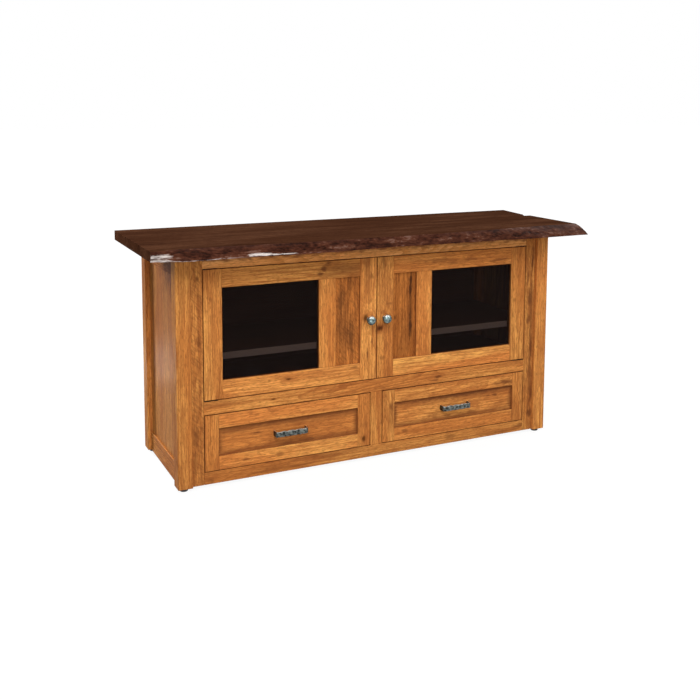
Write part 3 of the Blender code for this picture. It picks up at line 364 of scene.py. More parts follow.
def case_timber():
    """Posts, side frames and face frame: honey-brown hardwood, a little darker on the left."""
    for index, place in enumerate(("front", "rear")):
        dress(f"post_{place}_left", HONEY, "z", 1.3 + index, shade=0.91, streaks=0.25, specular=0.006)
        dress(f"post_{place}_right", HONEY, "z", 3.9 + index, shade=1.1, streaks=0.12, figure=0.4, mottle=0.2)
    for index, side in enumerate(("left", "right")):
        dress(f"side_rail_low_{side}", HONEY, "y", 5.2 + index, shade=0.92, specular=0.006)
        # The side's top rail and panel get a painted shadow below the slab's overhang.
        dress(f"side_rail_top_{side}", HONEY, "y", 7.7 + index, shade=0.9, specular=0.006, flank=True,
              marks=OVERHANG_SHADOW_PAINT)
        dress(f"side_panel_{side}", HONEY, "z", 9.4 + index, shade=0.9, streaks=0.3, specular=0.01,
              flank=True, marks=OVERHANG_SHADOW_PAINT)
    dress("face_stile_left", HONEY, "z", 11.1, sides=SIDES_SHADE, shade=0.9, curl=0.35, mottle=0.5,
          streaks=0.4,
          marks=((-0.626, 0.677, 0.006, 0.010, 0.6), (-0.625, 0.481, 0.009, 0.028, 0.6),
                 (-0.638, 0.168, 0.009, 0.030, 0.5), (-0.640, 0.089, 0.008, 0.024, 0.45),
                 (-0.622, 0.611, 0.006, 0.030, 0.3)))
    dress("face_stile_right", HONEY, "z", 12.6, sides=SIDES_SHADE, shade=0.9, streaks=0.8, mottle=0.8,
          curl=0.2,
          marks=((0.638, 0.370, 0.007, 0.330, 0.6), (0.622, 0.590, 0.006, 0.040, 0.5),
                 (0.640, 0.654, 0.006, 0.060, 0.9), (0.630, 0.515, 0.011, 0.030, 0.8),
                 (0.626, 0.429, 0.010, 0.020, 0.6), (0.641, 0.333, 0.008, 0.040, 0.7),
                 (0.643, 0.142, 0.008, 0.046, 0.7), (0.640, 0.077, 0.012, 0.020, 0.8)))
    # The top rail gets a painted shadow along its top, below the slab.
    dress("face_rail_top", PALE, "x", 13.8, sides=SIDES_SHADE, figure=0.8, rings=26, marks=SLAB_SHADOW_PAINT)
    dress("face_rail_middle", HONEY, "x", 15.5, sides=SIDES_SHADE, rings=26, figure=0.7, mottle=0.15,
          marks=((0.245, 0.262, 0.020, 0.005, 0.85), (0.232, 0.250, 0.016, 0.004, 0.6)),
          knots=((-0.377, 0.262, 0.010, 0.003),))
    dress("face_rail_bottom", HONEY, "x", 17.2, sides=SIDES_SHADE, shade=0.94, streaks=0.5, mottle=0.5,
          marks=((0.299, 0.034, 0.037, 0.011, 0.45), (0.601, 0.033, 0.027, 0.008, 0.6),
                 (-0.594, 0.025, 0.016, 0.010, 0.4)))
    dress("drawer_mullion", HONEY, "z", 18.9, sides=SIDES_SHADE, streaks=0.2)


def inner_timber():
    """Dark-stained boards inside, shelves with painted light on their front edges, and pale drawer boxes."""
    for index, name in enumerate(("bottom_board", "deck_board", "back_panel")):
        dress(name, STAINED, "x", 20.4 + index, figure=0.3, mottle=0.15, streaks=0.0, roughness=0.42)
    dress("centre_partition", STAINED, "z", 27.1, figure=0.3, mottle=0.15, streaks=0.0, roughness=0.42)
    for index, side in enumerate(("left", "right")):
        # A shelf's front edge gets a pale strip of painted light.
        dress(f"shelf_{side}", STAINED, "x", 24.2 + index, streaks=0.1, roughness=0.42,
              band=(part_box(f"shelf_{side}")[0].y + LIT_EDGE_DEPTH, "#DDBAAA"))
        dress(f"drawer_{side}_box", MAPLE, "y", 29.3 + index, streaks=0.05, mottle=0.3, roughness=0.4)


def door_timber():
    """Each door's five boards, and its small panel of darker heartwood."""
    looks = {
        "left": {
            "outer_stile": dict(along="z", seed=31.4, shade=0.95, figure=0.8, streaks=0.15,
                                marks=((-0.586, 0.612, 0.006, 0.009, 0.45),
                                       (-0.584, 0.551, 0.008, 0.019, 0.25),
                                       (-0.579, 0.580, 0.004, 0.050, 0.3))),
            "mid_stile": dict(along="z", seed=32.7, shade=1.05, streaks=0.15),
            "meeting_stile": dict(along="z", seed=34.1, shade=1.1, streaks=0.3, mottle=0.45,
                                  marks=((-0.035, 0.376, 0.003, 0.026, 0.95),
                                         (-0.018, 0.421, 0.003, 0.014, 0.8),
                                         (-0.022, 0.642, 0.009, 0.012, 0.6)),
                                  knots=((-0.043, 0.500, 0.012, 0.014),)),
            "top_rail": dict(along="x", seed=35.6, shade=0.91,
                             marks=((-0.181, 0.697, 0.012, 0.012, 0.8), (-0.197, 0.681, 0.013, 0.012, 0.85),
                                    (-0.211, 0.664, 0.013, 0.010, 0.8), (-0.121, 0.683, 0.060, 0.020, 0.35))),
            "bottom_rail": dict(along="x", seed=37.9, shade=1.15, rings=24,
                                marks=((-0.391, 0.325, 0.007, 0.004, 0.7),
                                       (-0.084, 0.335, 0.018, 0.005, 0.7)),
                                knots=((-0.323, 0.322, 0.018, 0.006),)),
            "panel": dict(along="z", seed=38.8, shade=1.2, streaks=0.5, mottle=0.6, curl=0.25,
                          marks=((-0.094, 0.446, 0.012, 0.068, 0.7), (-0.128, 0.569, 0.016, 0.040, 0.5),
                                 (-0.139, 0.485, 0.008, 0.085, 0.4), (-0.097, 0.617, 0.013, 0.034, 0.4))),
        },
        "right": {
            "outer_stile": dict(along="z", seed=41.2, shade=0.98, streaks=0.2, mottle=0.4,
                                marks=((0.562, 0.510, 0.008, 0.009, 0.5), (0.558, 0.549, 0.006, 0.008, 0.4),
                                       (0.559, 0.450, 0.005, 0.008, 0.4))),
            "mid_stile": dict(along="z", seed=42.9, shade=1.08, streaks=0.12, figure=0.5),
            "meeting_stile": dict(along="z", seed=44.5, shade=1.0, streaks=0.3, mottle=0.45, curl=0.12,
                                  marks=((0.024, 0.687, 0.006, 0.026, 0.6),
                                         (0.046, 0.542, 0.015, 0.005, 0.45),
                                         (0.022, 0.354, 0.013, 0.009, 0.5),
                                         (0.035, 0.398, 0.011, 0.014, 0.3),
                                         (0.010, 0.461, 0.014, 0.012, 0.97)),
                                  knots=((0.012, 0.461, 0.014, 0.014), (0.012, 0.459, 0.010, 0.010))),
            "top_rail": dict(along="x", seed=46.3, shade=1.07,
                             marks=((0.503, 0.664, 0.034, 0.005, 0.75), (0.462, 0.659, 0.020, 0.004, 0.5),
                                    (0.250, 0.676, 0.060, 0.010, 0.45), (0.365, 0.672, 0.045, 0.008, 0.5),
                                    (0.300, 0.666, 0.025, 0.006, 0.5))),
            "bottom_rail": dict(along="x", seed=47.7, shade=1.25, streaks=0.15, figure=0.6),
            "panel": dict(along="z", seed=49.2, streaks=0.5, mottle=0.35,
                          marks=((0.134, 0.599, 0.007, 0.050, 1.0), (0.135, 0.458, 0.007, 0.060, 0.95),
                                 (0.134, 0.529, 0.005, 0.110, 0.6), (0.075, 0.489, 0.006, 0.010, 0.7))),
        },
    }
    for side, boards in looks.items():
        for part, look in boards.items():
            tones = HEARTWOOD if part == "panel" else HONEY
            dress(f"door_{side}_{part}", tones, sides=SIDES_SHADE, **look)


# Other finishes

def smoked_glass():
    """Smoked float glass: nearly black, with the shelf just showing through."""
    material, tree, surface = new_material("smoked_glass_pane")
    place = add(tree, "ShaderNodeTexCoord").outputs["Object"]
    cloud = add(tree, "ShaderNodeTexNoise", {"Vector": place, "Scale": 6.0, "Detail": 1.0})
    tint = add(tree, "ShaderNodeMix", {0: cloud, 6: colour("#140D0C"), 7: colour("#19110F")},
               data_type="RGBA")
    connect(tree, surface, {"Base Color": tint, "Roughness": 0.04, "Specular IOR Level": 0.04, "Alpha": 0.52})
    return material


def forged_metal(name, tint, roughness, dark, highlight_tone):
    """Hand-hammered metal: dark in its marks and lighter on its faces, with a painted highlight along its
    upper side.

    Its patches are about 8 mm across and its grit 1 mm, coarser than real, so that it shows.
    """
    material, tree, surface = new_material(name)
    coordinates = add(tree, "ShaderNodeTexCoord").outputs
    place = coordinates["Object"]
    patch = add(tree, "ShaderNodeTexNoise", {"Vector": place, "Scale": 130.0, "Detail": 3.0})
    ramp = add(tree, "ShaderNodeValToRGB", {"Fac": patch})
    set_ramp(ramp, [(0.35, colour(dark)), (0.68, colour(tint))])
    # Painted highlight on the side that faces up
    upward = add(tree, "ShaderNodeSeparateXYZ", {0: coordinates["Normal"]}).outputs["Z"]
    top_highlight = add(tree, "ShaderNodeMapRange", {"Value": upward, "From Min": 0.4, "From Max": 0.8})
    tone = add(tree, "ShaderNodeMix", {0: top_highlight, 6: ramp, 7: colour(highlight_tone)}, data_type="RGBA")
    rough = add(tree, "ShaderNodeMapRange", {"Value": patch, "From Min": 0.3, "From Max": 0.7,
                                             "To Min": roughness + 0.15, "To Max": roughness})
    grit = add(tree, "ShaderNodeTexNoise", {"Vector": place, "Scale": 900.0, "Detail": 2.0})
    relief = add(tree, "ShaderNodeBump", {"Height": grit, "Strength": 0.3, "Distance": 0.0002})
    connect(tree, surface, {"Base Color": tone, "Roughness": rough, "Normal": relief, "Metallic": 1.0})
    return material


def rolled_steel(name, dark, light):
    """Rolled steel strip with a faint sheen along it."""
    material, tree, surface = new_material(name)
    place = add(tree, "ShaderNodeTexCoord").outputs["Object"]
    rolled = add(tree, "ShaderNodeMapping", {"Vector": place, "Scale": (900.0, 12.0, 900.0)})
    brushed = add(tree, "ShaderNodeTexNoise", {"Vector": rolled, "Scale": 1.0, "Detail": 2.0})
    tint = add(tree, "ShaderNodeMix", {0: brushed, 6: colour(dark), 7: colour(light)}, data_type="RGBA")
    rough = add(tree, "ShaderNodeMapRange", {"Value": brushed, "To Min": 0.25, "To Max": 0.42})
    connect(tree, surface, {"Base Color": tint, "Roughness": rough, "Metallic": 1.0})
    return material


def black_nylon():
    """Moulded black nylon: matt, with a fine spark-eroded grain of a little under 1 mm."""
    material, tree, surface = new_material("moulded_black_nylon")
    place = add(tree, "ShaderNodeTexCoord").outputs["Object"]
    grain = add(tree, "ShaderNodeTexNoise", {"Vector": place, "Scale": 1200.0, "Detail": 1.0})
    tint = add(tree, "ShaderNodeMix", {0: grain, 6: colour("#0E0E0F"), 7: colour("#19191A")},
               data_type="RGBA")
    relief = add(tree, "ShaderNodeBump", {"Height": grain, "Strength": 0.3, "Distance": 0.0001})
    connect(tree, surface, {"Base Color": tint, "Roughness": 0.5, "Normal": relief})
    return material


def tree_edge_finish():
    """The tree's own surface with its bark off: dark, fibrous and lacquered, with painted shade in its
    hollows, painted highlight on its crests, and pale patches of painted highlight.
    """
    material, tree, surface = new_material("lacquered_tree_edge")
    place = add(tree, "ShaderNodeTexCoord").outputs["Object"]
    high = add(tree, "ShaderNodeAttribute", attribute_name="relief").outputs["Fac"]
    highlight_paint = add(tree, "ShaderNodeAttribute", attribute_name="highlight_paint").outputs["Fac"]
    stretched = add(tree, "ShaderNodeMapping", {"Vector": place, "Scale": (38.0, 110.0, 170.0)})
    flakes = add(tree, "ShaderNodeTexNoise", {"Vector": stretched, "Scale": 1.0, "Detail": 5.0,
                                              "Roughness": 0.65, "Distortion": 0.8})
    # The relief darkens the hollows as painted shade and lightens the crests as painted highlight.
    mixed = add(tree, "ShaderNodeMath", {0: flakes, 1: 0.7, 2: high}, operation="MULTIPLY_ADD")
    ramp = add(tree, "ShaderNodeValToRGB", {"Fac": mixed})
    set_ramp(ramp, [(0.56, colour("#170A06")), (0.76, colour("#3F2117")), (0.95, colour("#583324")),
                    (1.0, colour("#6D4E42"))])
    # Pale patches of painted highlight on the tree edge
    pale = add(tree, "ShaderNodeMath", {0: highlight_paint, 1: flakes}, operation="MULTIPLY")
    pale = add(tree, "ShaderNodeMapRange", {"Value": pale, "From Min": 0.24, "From Max": 0.5})
    tone = add(tree, "ShaderNodeMix", {0: pale, 6: ramp, 7: colour("#D2C8C2")}, data_type="RGBA")
    relief = add(tree, "ShaderNodeBump", {"Height": flakes, "Strength": 0.6, "Distance": 0.0015})
    connect(tree, surface, {"Base Color": tone, "Normal": relief, "Roughness": 0.45,
                            "Specular IOR Level": 0.02})
    return material


# Meshes

def placed(name, data):
    """An object in the scene for a mesh, lamp or camera."""
    made = bpy.data.objects.new(name, data)
    bpy.context.scene.collection.objects.link(made)
    return made


def new_object(name, vertices, faces, materials, indices=None, smooth_angle=None):
    """An object at the origin from points and faces, with its normals facing outwards."""
    mesh = bpy.data.meshes.new(name)
    mesh.from_pydata([tuple(point) for point in vertices], [], faces)
    for material in materials:
        mesh.materials.append(material)
    if indices:
        mesh.polygons.foreach_set("material_index", indices)
    shape = bmesh.new()
    shape.from_mesh(mesh)
    bmesh.ops.recalc_face_normals(shape, faces=shape.faces[:])
    shape.to_mesh(mesh)
    shape.free()
    if smooth_angle:
        mesh.shade_smooth()
        mesh.set_sharp_from_angle(angle=math.radians(smooth_angle))
    return placed(name, mesh)


def stand_for(piece, node):
    """The piece rides on its node's body and hides the node."""
    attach(piece, NODES[node]["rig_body"])
    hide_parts(node)


def baked(made):
    """The object with its modifiers applied to its mesh."""
    mesh = bpy.data.meshes.new_from_object(made.evaluated_get(bpy.context.evaluated_depsgraph_get()))
    made.modifiers.clear()
    made.data = mesh
    return made


# Live-edge slab

def edge_relief(x, down):
    """Height of the tree's surface, with down from 0 at the brow to 1 at the lip: flutes, folds and pits."""
    flutes = noise.noise(Vector((x * 7.0, down * 1.6, 3.1)))
    folds = noise.noise(Vector((x * 26.0, down * 3.4, 8.7)))
    flakes = noise.fractal(Vector((x * 70.0, down * 7.0, 1.9)), 1.0, 2.0, 3)
    pits = 1.0 - abs(noise.noise(Vector((x * 110.0, down * 9.0, 5.5)))) * 2.0
    return 0.45 * flutes + 0.35 * folds + 0.3 * flakes - 0.12 * max(pits, 0.0)


def painted_highlight(x, down):
    """How strongly the pale painted highlight shows there: long soft patches."""
    return max(share * math.exp(-((x - at) / wide) ** 4 - ((down - level) / tall) ** 2)
               for at, wide, level, tall, share in PAINTED_HIGHLIGHTS)


def live_edge_slab():
    """The slab over its solid's outline: flat top and sawn ends, and a tree edge with its own relief."""
    node = "live_edge_top"
    low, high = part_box(node)
    solid = BVHTree.FromObject(NODES[node], bpy.context.evaluated_depsgraph_get())
    middle = (low.z + high.z) / 2
    thick = high.z - low.z

    def end(y, way):
        hit = solid.ray_cast(Vector((0.0, max(y, FRONT_Y), middle)), Vector((way, 0.0, 0.0)))[0]
        return hit.x

    def front(x, z):
        level = min(max(z, low.z + SKIN), high.z - SKIN)
        hit = solid.ray_cast(Vector((x, low.y - 0.05, level)), Vector((0.0, 1.0, 0.0)))[0]
        return hit.y

    def lengthwise(share, y, bite=0.0):
        return end(y, -1) + share * (end(y, 1) - bite - end(y, -1))

    # Rows on the top and the underside behind the notch, each with its bite out of the right end
    notch = high.y - NOTCH_FROM_REAR
    seats = ((high.y, 0.0), (notch + NOTCH_SLANT + NOTCH_RUN, 0.0), (notch + NOTCH_SLANT, NOTCH_BITE),
             (notch, 0.0))
    vertices, relief, highlight_paint = [], [], []
    for station in range(SLAB_STATIONS + 1):
        share = station / SLAB_STATIONS
        x = min(max(lengthwise(share, FRONT_Y), low.x + END_MARGINS[0]), high.x - END_MARGINS[1])
        wander = BROW_WANDER * (noise.noise(Vector((x * 14.0, 2.2, 0.0)))
                                + 0.45 * noise.noise(Vector((x * 60.0, 4.4, 0.0))))
        brow = front(x, high.z) + wander
        rows = [(notch + (brow - notch) * row / TOP_ROWS, 0.0) for row in range(1, TOP_ROWS)]
        ring = [(Vector((lengthwise(share, y, bite), y, low.z)), 0.5, 0.0) for y, bite in reversed(seats)]
        ring += [(Vector((lengthwise(share, y, bite), y, high.z)), 0.5, 0.0) for y, bite in (*seats, *rows)]
        for row in range(EDGE_ROWS + 1):
            down = row / EDGE_ROWS
            z = high.z - thick * down
            y = front(x, z) + wander * (1 - down) ** 2
            rise = edge_relief(x, down)
            out = EDGE_RELIEF * rise * min(1.0, 0.25 + 4.0 * down)
            lift = 0.5 * out if 0 < row < EDGE_ROWS else 0.0
            point = Vector((lengthwise(share, y), y - out, min(max(z + lift, low.z), high.z)))
            ring.append((point, 0.5 + 0.5 * rise, painted_highlight(x - CENTRE_X, down)))
        for point, height, patch in ring:
            vertices.append(point)
            relief.append(height)
            highlight_paint.append(patch)
    count = len(vertices) // (SLAB_STATIONS + 1)
    first_edge_row = count - EDGE_ROWS - 1
    faces, indices = [], []
    for station in range(SLAB_STATIONS):
        here, there = station * count, (station + 1) * count
        for corner in range(count):
            after = (corner + 1) % count
            faces.append((here + corner, here + after, there + after, there + corner))
            indices.append(1 if first_edge_row <= corner < count - 1 else 0)
    # Sawn ends: a quad between each two seats, and one face for all that lies in front of the notch
    above = 2 * len(seats) - 1
    for start in (0, SLAB_STATIONS * count):
        sawn = [(seat, seat + 1, above - seat - 1, above - seat) for seat in range(len(seats) - 1)]
        sawn.append((0, *range(above, count)))
        faces += [tuple(start + corner for corner in face) for face in sawn]
        indices += [0] * len(sawn)
    walnut = lacquered_timber("dark_walnut", WALNUT, "x", 51.3, figure=0.4, mottle=0.25, streaks=0.4,
                              roughness=0.5, specular=0.0)
    slab = new_object("live_edge_slab", vertices, faces, [walnut, tree_edge_finish()], indices,
                      smooth_angle=38)
    for name, values in (("relief", relief), ("highlight_paint", highlight_paint)):
        slab.data.attributes.new(name, "FLOAT", "POINT").data.foreach_set("value", values)
    stand_for(slab, node)


# Drawer fronts

def drawer_fronts():
    """Each drawer front of two upright stiles, two rails and a sunk panel, with its arrises taken off."""
    looks = {
        "left": (
            dict(along="z", seed=55.3, streaks=0.2, marks=((-0.040, 0.130, 0.008, 0.030, 0.3),),
                 knots=((-0.047, 0.078, 0.007, 0.013),)),
            dict(along="x", seed=56.8, shade=1.22, streaks=0.2, figure=0.4, mottle=0.2,
                 marks=((-0.471, 0.075, 0.013, 0.006, 0.7), (-0.355, 0.073, 0.016, 0.010, 0.55))),
            # Panel: besides its streaks, a painted shadow below the pull and a wide band of painted shade
            # along its top.
            dict(along="x", seed=58.4, shade=1.06, mottle=0.4,
                 marks=((-0.431, 0.155, 0.017, 0.004, 0.85), (-0.245, 0.105, 0.036, 0.008, 0.6),
                        (-0.326, 0.103, 0.032, 0.007, 0.5), (-0.319, 0.181, 0.180, 0.012, 0.35))),
        ),
        "right": (
            dict(along="z", seed=61.7, streaks=0.3,
                 marks=((0.060, 0.179, 0.009, 0.018, 0.6), (0.058, 0.140, 0.010, 0.050, 0.35))),
            dict(along="x", seed=63.2, shade=1.08, streaks=0.2, figure=0.5,
                 marks=((0.530, 0.206, 0.050, 0.012, 0.8), (0.112, 0.084, 0.012, 0.007, 0.6),
                        (0.579, 0.056, 0.030, 0.006, 0.7))),
            # Panel: besides its streaks and knots, a painted shadow beside the pull and a wide band of
            # painted shade along its top.
            dict(along="x", seed=64.9, shade=1.12, mottle=0.4,
                 marks=((0.340, 0.184, 0.250, 0.013, 0.8), (0.073, 0.150, 0.014, 0.050, 0.6),
                        (0.232, 0.120, 0.045, 0.013, 0.35), (0.390, 0.112, 0.034, 0.007, 0.5),
                        (0.491, 0.162, 0.012, 0.006, 0.7), (0.462, 0.163, 0.009, 0.004, 0.6))),
        ),
    }
    for side, (stile, rail, panel) in looks.items():
        node = f"drawer_{side}_front"
        low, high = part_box(node)
        left, right = low.x + DRAWER_FRAME, high.x - DRAWER_FRAME
        under, over = low.z + DRAWER_FRAME, high.z - DRAWER_FRAME
        thick = (low.y, high.y)
        sunk = (low.y + DRAWER_PANEL_SINK, low.y + DRAWER_PANEL_SINK + DRAWER_PANEL_THICK)
        boards = (((low.x, left), thick, (low.z, high.z), 0), ((right, high.x), thick, (low.z, high.z), 0),
                  ((left, right), thick, (low.z, under), 1), ((left, right), thick, (over, high.z), 1),
                  ((left - PANEL_LIP, right + PANEL_LIP), sunk, (under - PANEL_LIP, over + PANEL_LIP), 2))
        shape = bmesh.new()
        for spans_x, spans_y, spans_z, index in boards:
            corners = [shape.verts.new((x, y, z)) for x in spans_x for y in spans_y for z in spans_z]
            sides = ((0, 1, 3, 2), (4, 6, 7, 5), (0, 4, 5, 1), (2, 3, 7, 6), (0, 2, 6, 4), (1, 5, 7, 3))
            for side_corners in sides:
                face = shape.faces.new([corners[number] for number in side_corners])
                face.material_index = index
        bmesh.ops.bevel(shape, geom=shape.edges[:], offset=ARRIS, segments=2, affect="EDGES", profile=0.5)
        bmesh.ops.recalc_face_normals(shape, faces=shape.faces[:])
        mesh = bpy.data.meshes.new(f"{side}_drawer_front_boards")
        shape.to_mesh(mesh)
        shape.free()
        field = ((left + right) / 2 - CENTRE_X, (under + over) / 2, (right - left) / 2, (over - under) / 2)
        # The panel gets painted shade along its edges.
        for part, look in (("stiles", stile), ("rails", rail), ("panel", dict(panel, sunk=field))):
            timber = lacquered_timber(f"{node}_{part}_timber", HONEY, sides=SIDES_SHADE, **look)
            mesh.materials.append(timber)
        stand_for(placed(mesh.name, mesh), node)


# Hammered knobs and pulls

def hammered(point, outward, mark, depth):
    """The point set in by the hammer mark that it lies in."""
    nearest = noise.voronoi(point / mark)[0][0]
    return point - outward * depth * max(0.0, 1.0 - (nearest / MARK_RIM) ** 2)


def smooth_form(form, count):
    """Points along a smooth curve through the form's points."""
    points = [Vector(point) for point in form]
    points = [points[0] * 2 - points[1]] + points + [points[-1] * 2 - points[-2]]
    curve = []
    spans = len(form) - 1
    for step in range(count + 1):
        place = step / count * spans
        index = min(int(place), spans - 1)
        t = place - index
        a, b, c, d = points[index:index + 4]
        curve.append(0.5 * ((2 * b) + (c - a) * t + (2 * a - 5 * b + 4 * c - d) * t * t
                            + (3 * b - a - 3 * c + d) * t ** 3))
    return curve


def knobs():
    """Domed knobs on waisted feet, hammered all over the dome."""
    # The last tone is a painted highlight on the knobs' upper side.
    pewter = forged_metal("hammered_pewter", "#92A5A4", 0.24, "#3A484A", "#EEF0EC")
    for side in ("left", "right"):
        node = f"door_{side}_knob"
        low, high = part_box(node)
        centre = (low + high) / 2
        radius = (high.z - low.z) / 2
        base = FRONT_Y - KNOB_GAP
        stands = base - low.y
        vertices, faces = [], []
        form = smooth_form(KNOB_FORM, KNOB_RINGS)
        for wide, out in form[:-1]:
            for step in range(KNOB_SIDES):
                angle = math.tau * step / KNOB_SIDES
                way = Vector((math.cos(angle), 0.0, math.sin(angle)))
                point = Vector((centre.x, base - out * stands, centre.z)) + way * wide * radius
                if out > KNOB_PLAIN:
                    outward = (way * wide + Vector((0, -1, 0)) * out).normalized()
                    point = hammered(point, outward, KNOB_MARK, KNOB_MARK_DEPTH)
                vertices.append(point)
        tip = len(vertices)
        vertices.append(Vector((centre.x, low.y, centre.z)))
        for ring in range(KNOB_RINGS - 1):
            for step in range(KNOB_SIDES):
                here, after = ring * KNOB_SIDES + step, ring * KNOB_SIDES + (step + 1) % KNOB_SIDES
                faces.append((here, after, after + KNOB_SIDES, here + KNOB_SIDES))
        last = (KNOB_RINGS - 1) * KNOB_SIDES
        faces += [(last + step, last + (step + 1) % KNOB_SIDES, tip) for step in range(KNOB_SIDES)]
        faces.append(tuple(range(KNOB_SIDES)))
        made = new_object(f"{side}_knob_hammered", vertices, faces, [pewter], smooth_angle=50)
        stand_for(made, node)


def pulls():
    """Bowed iron pulls: their solids' form with rounded arrises and hammer marks."""
    # The last tone is a painted highlight on the pulls' upper side.
    iron = forged_metal("hammered_iron", "#787D79", 0.34, "#232625", "#DDD2C4")
    for side in ("left", "right"):
        node = f"drawer_{side}_pull"
        shape = bmesh.new()
        shape.from_mesh(NODES[node].data)
        bmesh.ops.remove_doubles(shape, verts=shape.verts[:], dist=0.00001)
        mesh = bpy.data.meshes.new(f"{side}_pull_hammered")
        shape.to_mesh(mesh)
        shape.free()
        mesh.materials.clear()
        mesh.materials.append(iron)
        made = placed(mesh.name, mesh)
        fine = made.modifiers.new("fine", "REMESH")
        fine.mode = "VOXEL"
        fine.voxel_size = PULL_VOXEL
        made = baked(made)
        normals = [vertex.normal.copy() for vertex in made.data.vertices]
        for vertex, normal in zip(made.data.vertices, normals):
            vertex.co = hammered(vertex.co.copy(), normal, PULL_MARK, PULL_MARK_DEPTH)
        made.data.shade_smooth()
        stand_for(made, node)


# Screws

def screw_tree(material):
    """Node tree that sets round-headed screws, each with a cross recess, along the edges of its mesh."""
    tree = bpy.data.node_groups.new("screws_along_edges", "GeometryNodeTree")
    tree.interface.new_socket("Geometry", in_out="INPUT", socket_type="NodeSocketGeometry")
    sockets = {name: tree.interface.new_socket(name, in_out="INPUT", socket_type="NodeSocketFloat").identifier
               for name in SCREW_SIZES}
    tree.interface.new_socket("Geometry", in_out="OUTPUT", socket_type="NodeSocketGeometry")
    given = add(tree, "NodeGroupInput").outputs
    path = add(tree, "GeometryNodeMeshToCurve", {"Mesh": given["Geometry"]})
    points = add(tree, "GeometryNodeCurveToPoints", {"Curve": path, "Length": given["Spacing"]},
                 mode="LENGTH")
    size = add(tree, "ShaderNodeCombineXYZ", {"X": given["Head Radius"], "Y": given["Head Height"],
                                              "Z": given["Head Radius"]})
    head = add(tree, "GeometryNodeMeshUVSphere", {"Segments": 32, "Rings": 16, "Radius": 1.0})
    head = add(tree, "GeometryNodeTransform", {"Geometry": head, "Scale": size})
    top = add(tree, "ShaderNodeCombineXYZ", {"Y": given["Head Height"]})
    for long, wide in (("X", "Z"), ("Z", "X")):
        bar = add(tree, "ShaderNodeCombineXYZ", {long: given["Recess Length"], wide: given["Recess Width"],
                                                 "Y": given["Head Height"]})
        bar = add(tree, "GeometryNodeMeshCube", {"Size": bar})
        bar = add(tree, "GeometryNodeTransform", {"Geometry": bar, "Translation": top})
        head = add(tree, "GeometryNodeMeshBoolean", {"Mesh 1": head, "Mesh 2": bar}, operation="DIFFERENCE")
    turn = add(tree, "FunctionNodeRandomValue", {0: (0.0, 0.0, 0.0), 1: (0.0, math.pi / 2, 0.0), "Seed": 7},
               data_type="FLOAT_VECTOR")
    screws = add(tree, "GeometryNodeInstanceOnPoints", {"Points": points, "Instance": head, "Rotation": turn})
    screws = add(tree, "GeometryNodeRealizeInstances", {"Geometry": screws})
    screws = add(tree, "GeometryNodeSetMaterial", {"Geometry": screws, "Material": material})
    add(tree, "NodeGroupOutput", {"Geometry": screws})
    return tree, sockets


def back_screws():
    """Screws round the back panel, into the posts and rails behind its edges."""
    low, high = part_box("back_panel")
    left, right = low.x + SCREW_INSET, high.x - SCREW_INSET
    under, over = low.z + SCREW_INSET, high.z - SCREW_INSET
    corners = [(left, high.y, under), (right, high.y, under), (right, high.y, over), (left, high.y, over)]
    zinc = rolled_steel("zinc_plated_screws", "#7C7E82", "#A6A8AC")
    screws = new_object("back_panel_screws", corners, [(0, 1, 2, 3)], [zinc])
    tree, sockets = screw_tree(zinc)
    rows = screws.modifiers.new("screws", "NODES")
    rows.node_group = tree
    for name, size in SCREW_SIZES.items():
        rows[sockets[name]] = size
    screws = baked(screws)
    screws.data.shade_smooth()
    screws.data.set_sharp_from_angle(angle=math.radians(35))
    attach(screws, NODES["back_panel"]["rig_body"])


# Whole cabinet

def fittings():
    """Glass, hinges, slides, catch and feet keep their solids."""
    glass, nylon = smoked_glass(), black_nylon()
    zinc = rolled_steel("zinc_plated_steel", "#8B8D91", "#B4B6BA")
    browned = rolled_steel("browned_steel", "#1B1815", "#2A2520")
    for name, node in NODES.items():
        finish = None
        if name.endswith("_glass"):
            finish = glass
        elif name.startswith("hinge"):
            finish = browned
        elif "slide" in name:
            finish = zinc
        elif name.startswith("foot") or name == "door_catch":
            finish = nylon
        if finish:
            node.data.materials.clear()
            node.data.materials.append(finish)


# Stage

def seen_directly(tree):
    """1 where the camera, a reflection or glass looks at the surface, 0 where it only gives light."""
    path = add(tree, "ShaderNodeLightPath").outputs
    seen = path["Is Camera Ray"]
    for kind in ("Is Glossy Ray", "Is Transmission Ray"):
        seen = add(tree, "ShaderNodeMath", {0: seen, 1: path[kind]}, operation="MAXIMUM")
    return seen


def surround():
    """White as it is seen, and a soft fill as it lights the cabinet."""
    world = bpy.data.worlds.new("surround")
    bpy.context.scene.world = world
    world.use_nodes = True
    tree = world.node_tree
    tree.nodes.clear()
    fill = add(tree, "ShaderNodeBackground", {"Color": colour("#FAF8F5"), "Strength": SURROUND_FILL})
    white = add(tree, "ShaderNodeBackground", {"Color": WHITE, "Strength": 1.0})
    mix = add(tree, "ShaderNodeMixShader", {0: seen_directly(tree), 1: fill, 2: white})
    add(tree, "ShaderNodeOutputWorld", {"Surface": mix})


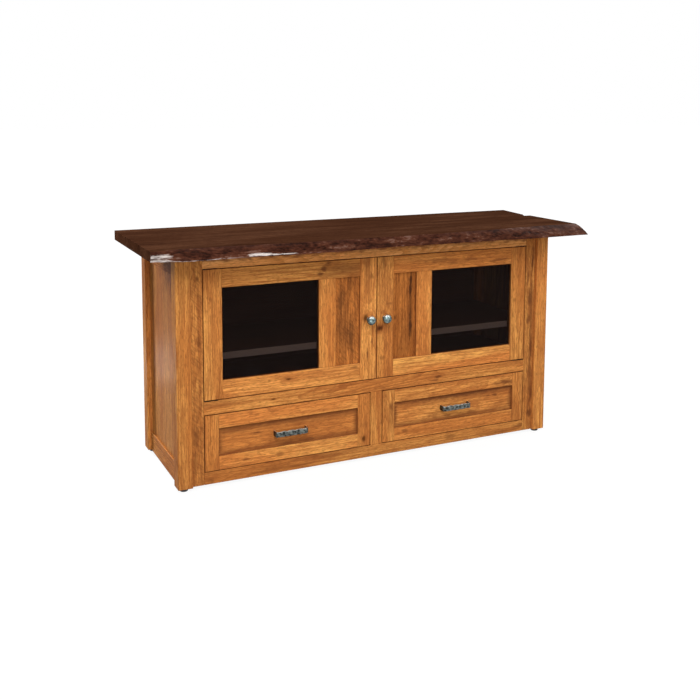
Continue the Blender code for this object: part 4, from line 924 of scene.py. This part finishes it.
def floor():
    """A white floor that keeps the cabinet's shadow near it and meets the surround far off."""
    material, tree, surface = new_material("white_floor")
    tree.nodes.remove(surface)
    seen = seen_directly(tree)
    paint = add(tree, "ShaderNodeMix", {0: seen, 6: FLOOR_GIVES, 7: FLOOR_SEEN}, data_type="RGBA")
    paint = add(tree, "ShaderNodeBsdfDiffuse", {"Color": paint})
    glow = add(tree, "ShaderNodeEmission", {"Color": WHITE, "Strength": FLOOR_GLOW_STRENGTH})
    place = add(tree, "ShaderNodeTexCoord").outputs["Object"]
    far = add(tree, "ShaderNodeVectorMath", {0: place}, operation="LENGTH")
    share = add(tree, "ShaderNodeMapRange", {"Value": far, "From Min": FLOOR_FADE[0],
                                             "From Max": FLOOR_FADE[1], "To Min": FLOOR_GLOW, "To Max": 1.0})
    share = add(tree, "ShaderNodeMath", {0: share, 1: seen}, operation="MULTIPLY")
    mix = add(tree, "ShaderNodeMixShader", {0: share, 1: paint, 2: glow})
    connect(tree, tree.nodes["Material Output"], {"Surface": mix})
    signs = ((-1, -1), (1, -1), (1, 1), (-1, 1))
    corners = [Vector((x * FLOOR_REACH, y * FLOOR_REACH, 0.0)) for x, y in signs]
    new_object("floor", corners, [(0, 1, 2, 3)], [material])


def lamps():
    """Soft square lamps, all aimed at the cabinet."""
    for name, place, size, power in LAMPS:
        data = bpy.data.lights.new(name, "AREA")
        data.shape = "SQUARE"
        data.size = size
        data.energy = power
        lamp = placed(name, data)
        lamp.location = place
        lamp.rotation_euler = (Vector(LAMP_AIM) - Vector(place)).to_track_quat("-Z", "Y").to_euler()
        lamp.visible_camera = False


def camera():
    """The view from the front left: yaw and pitch of the axis, and a slight roll."""
    data = bpy.data.cameras.new("camera")
    data.lens = CAMERA_LENS
    data.shift_y = CAMERA_SHIFT
    made = placed("camera", data)
    yaw, pitch, roll = (math.radians(angle) for angle in (CAMERA_YAW, CAMERA_PITCH, CAMERA_ROLL))
    ahead = Vector((math.sin(yaw) * math.cos(pitch), math.cos(yaw) * math.cos(pitch), -math.sin(pitch)))
    right = Vector((math.cos(yaw), -math.sin(yaw), 0.0))
    up = right.cross(ahead)
    tilted = right * math.cos(roll) + up * math.sin(roll)
    upright = up * math.cos(roll) - right * math.sin(roll)
    turn = Matrix((tilted, upright, -ahead)).transposed()
    made.matrix_world = Matrix.Translation(CAMERA_PLACE) @ turn.to_4x4()
    bpy.context.scene.camera = made


bpy.context.scene.view_settings.view_transform = "Standard"
camera()
case_timber()
inner_timber()
door_timber()
fittings()
live_edge_slab()
drawer_fronts()
knobs()
pulls()
back_screws()
surround()
floor()
lamps()
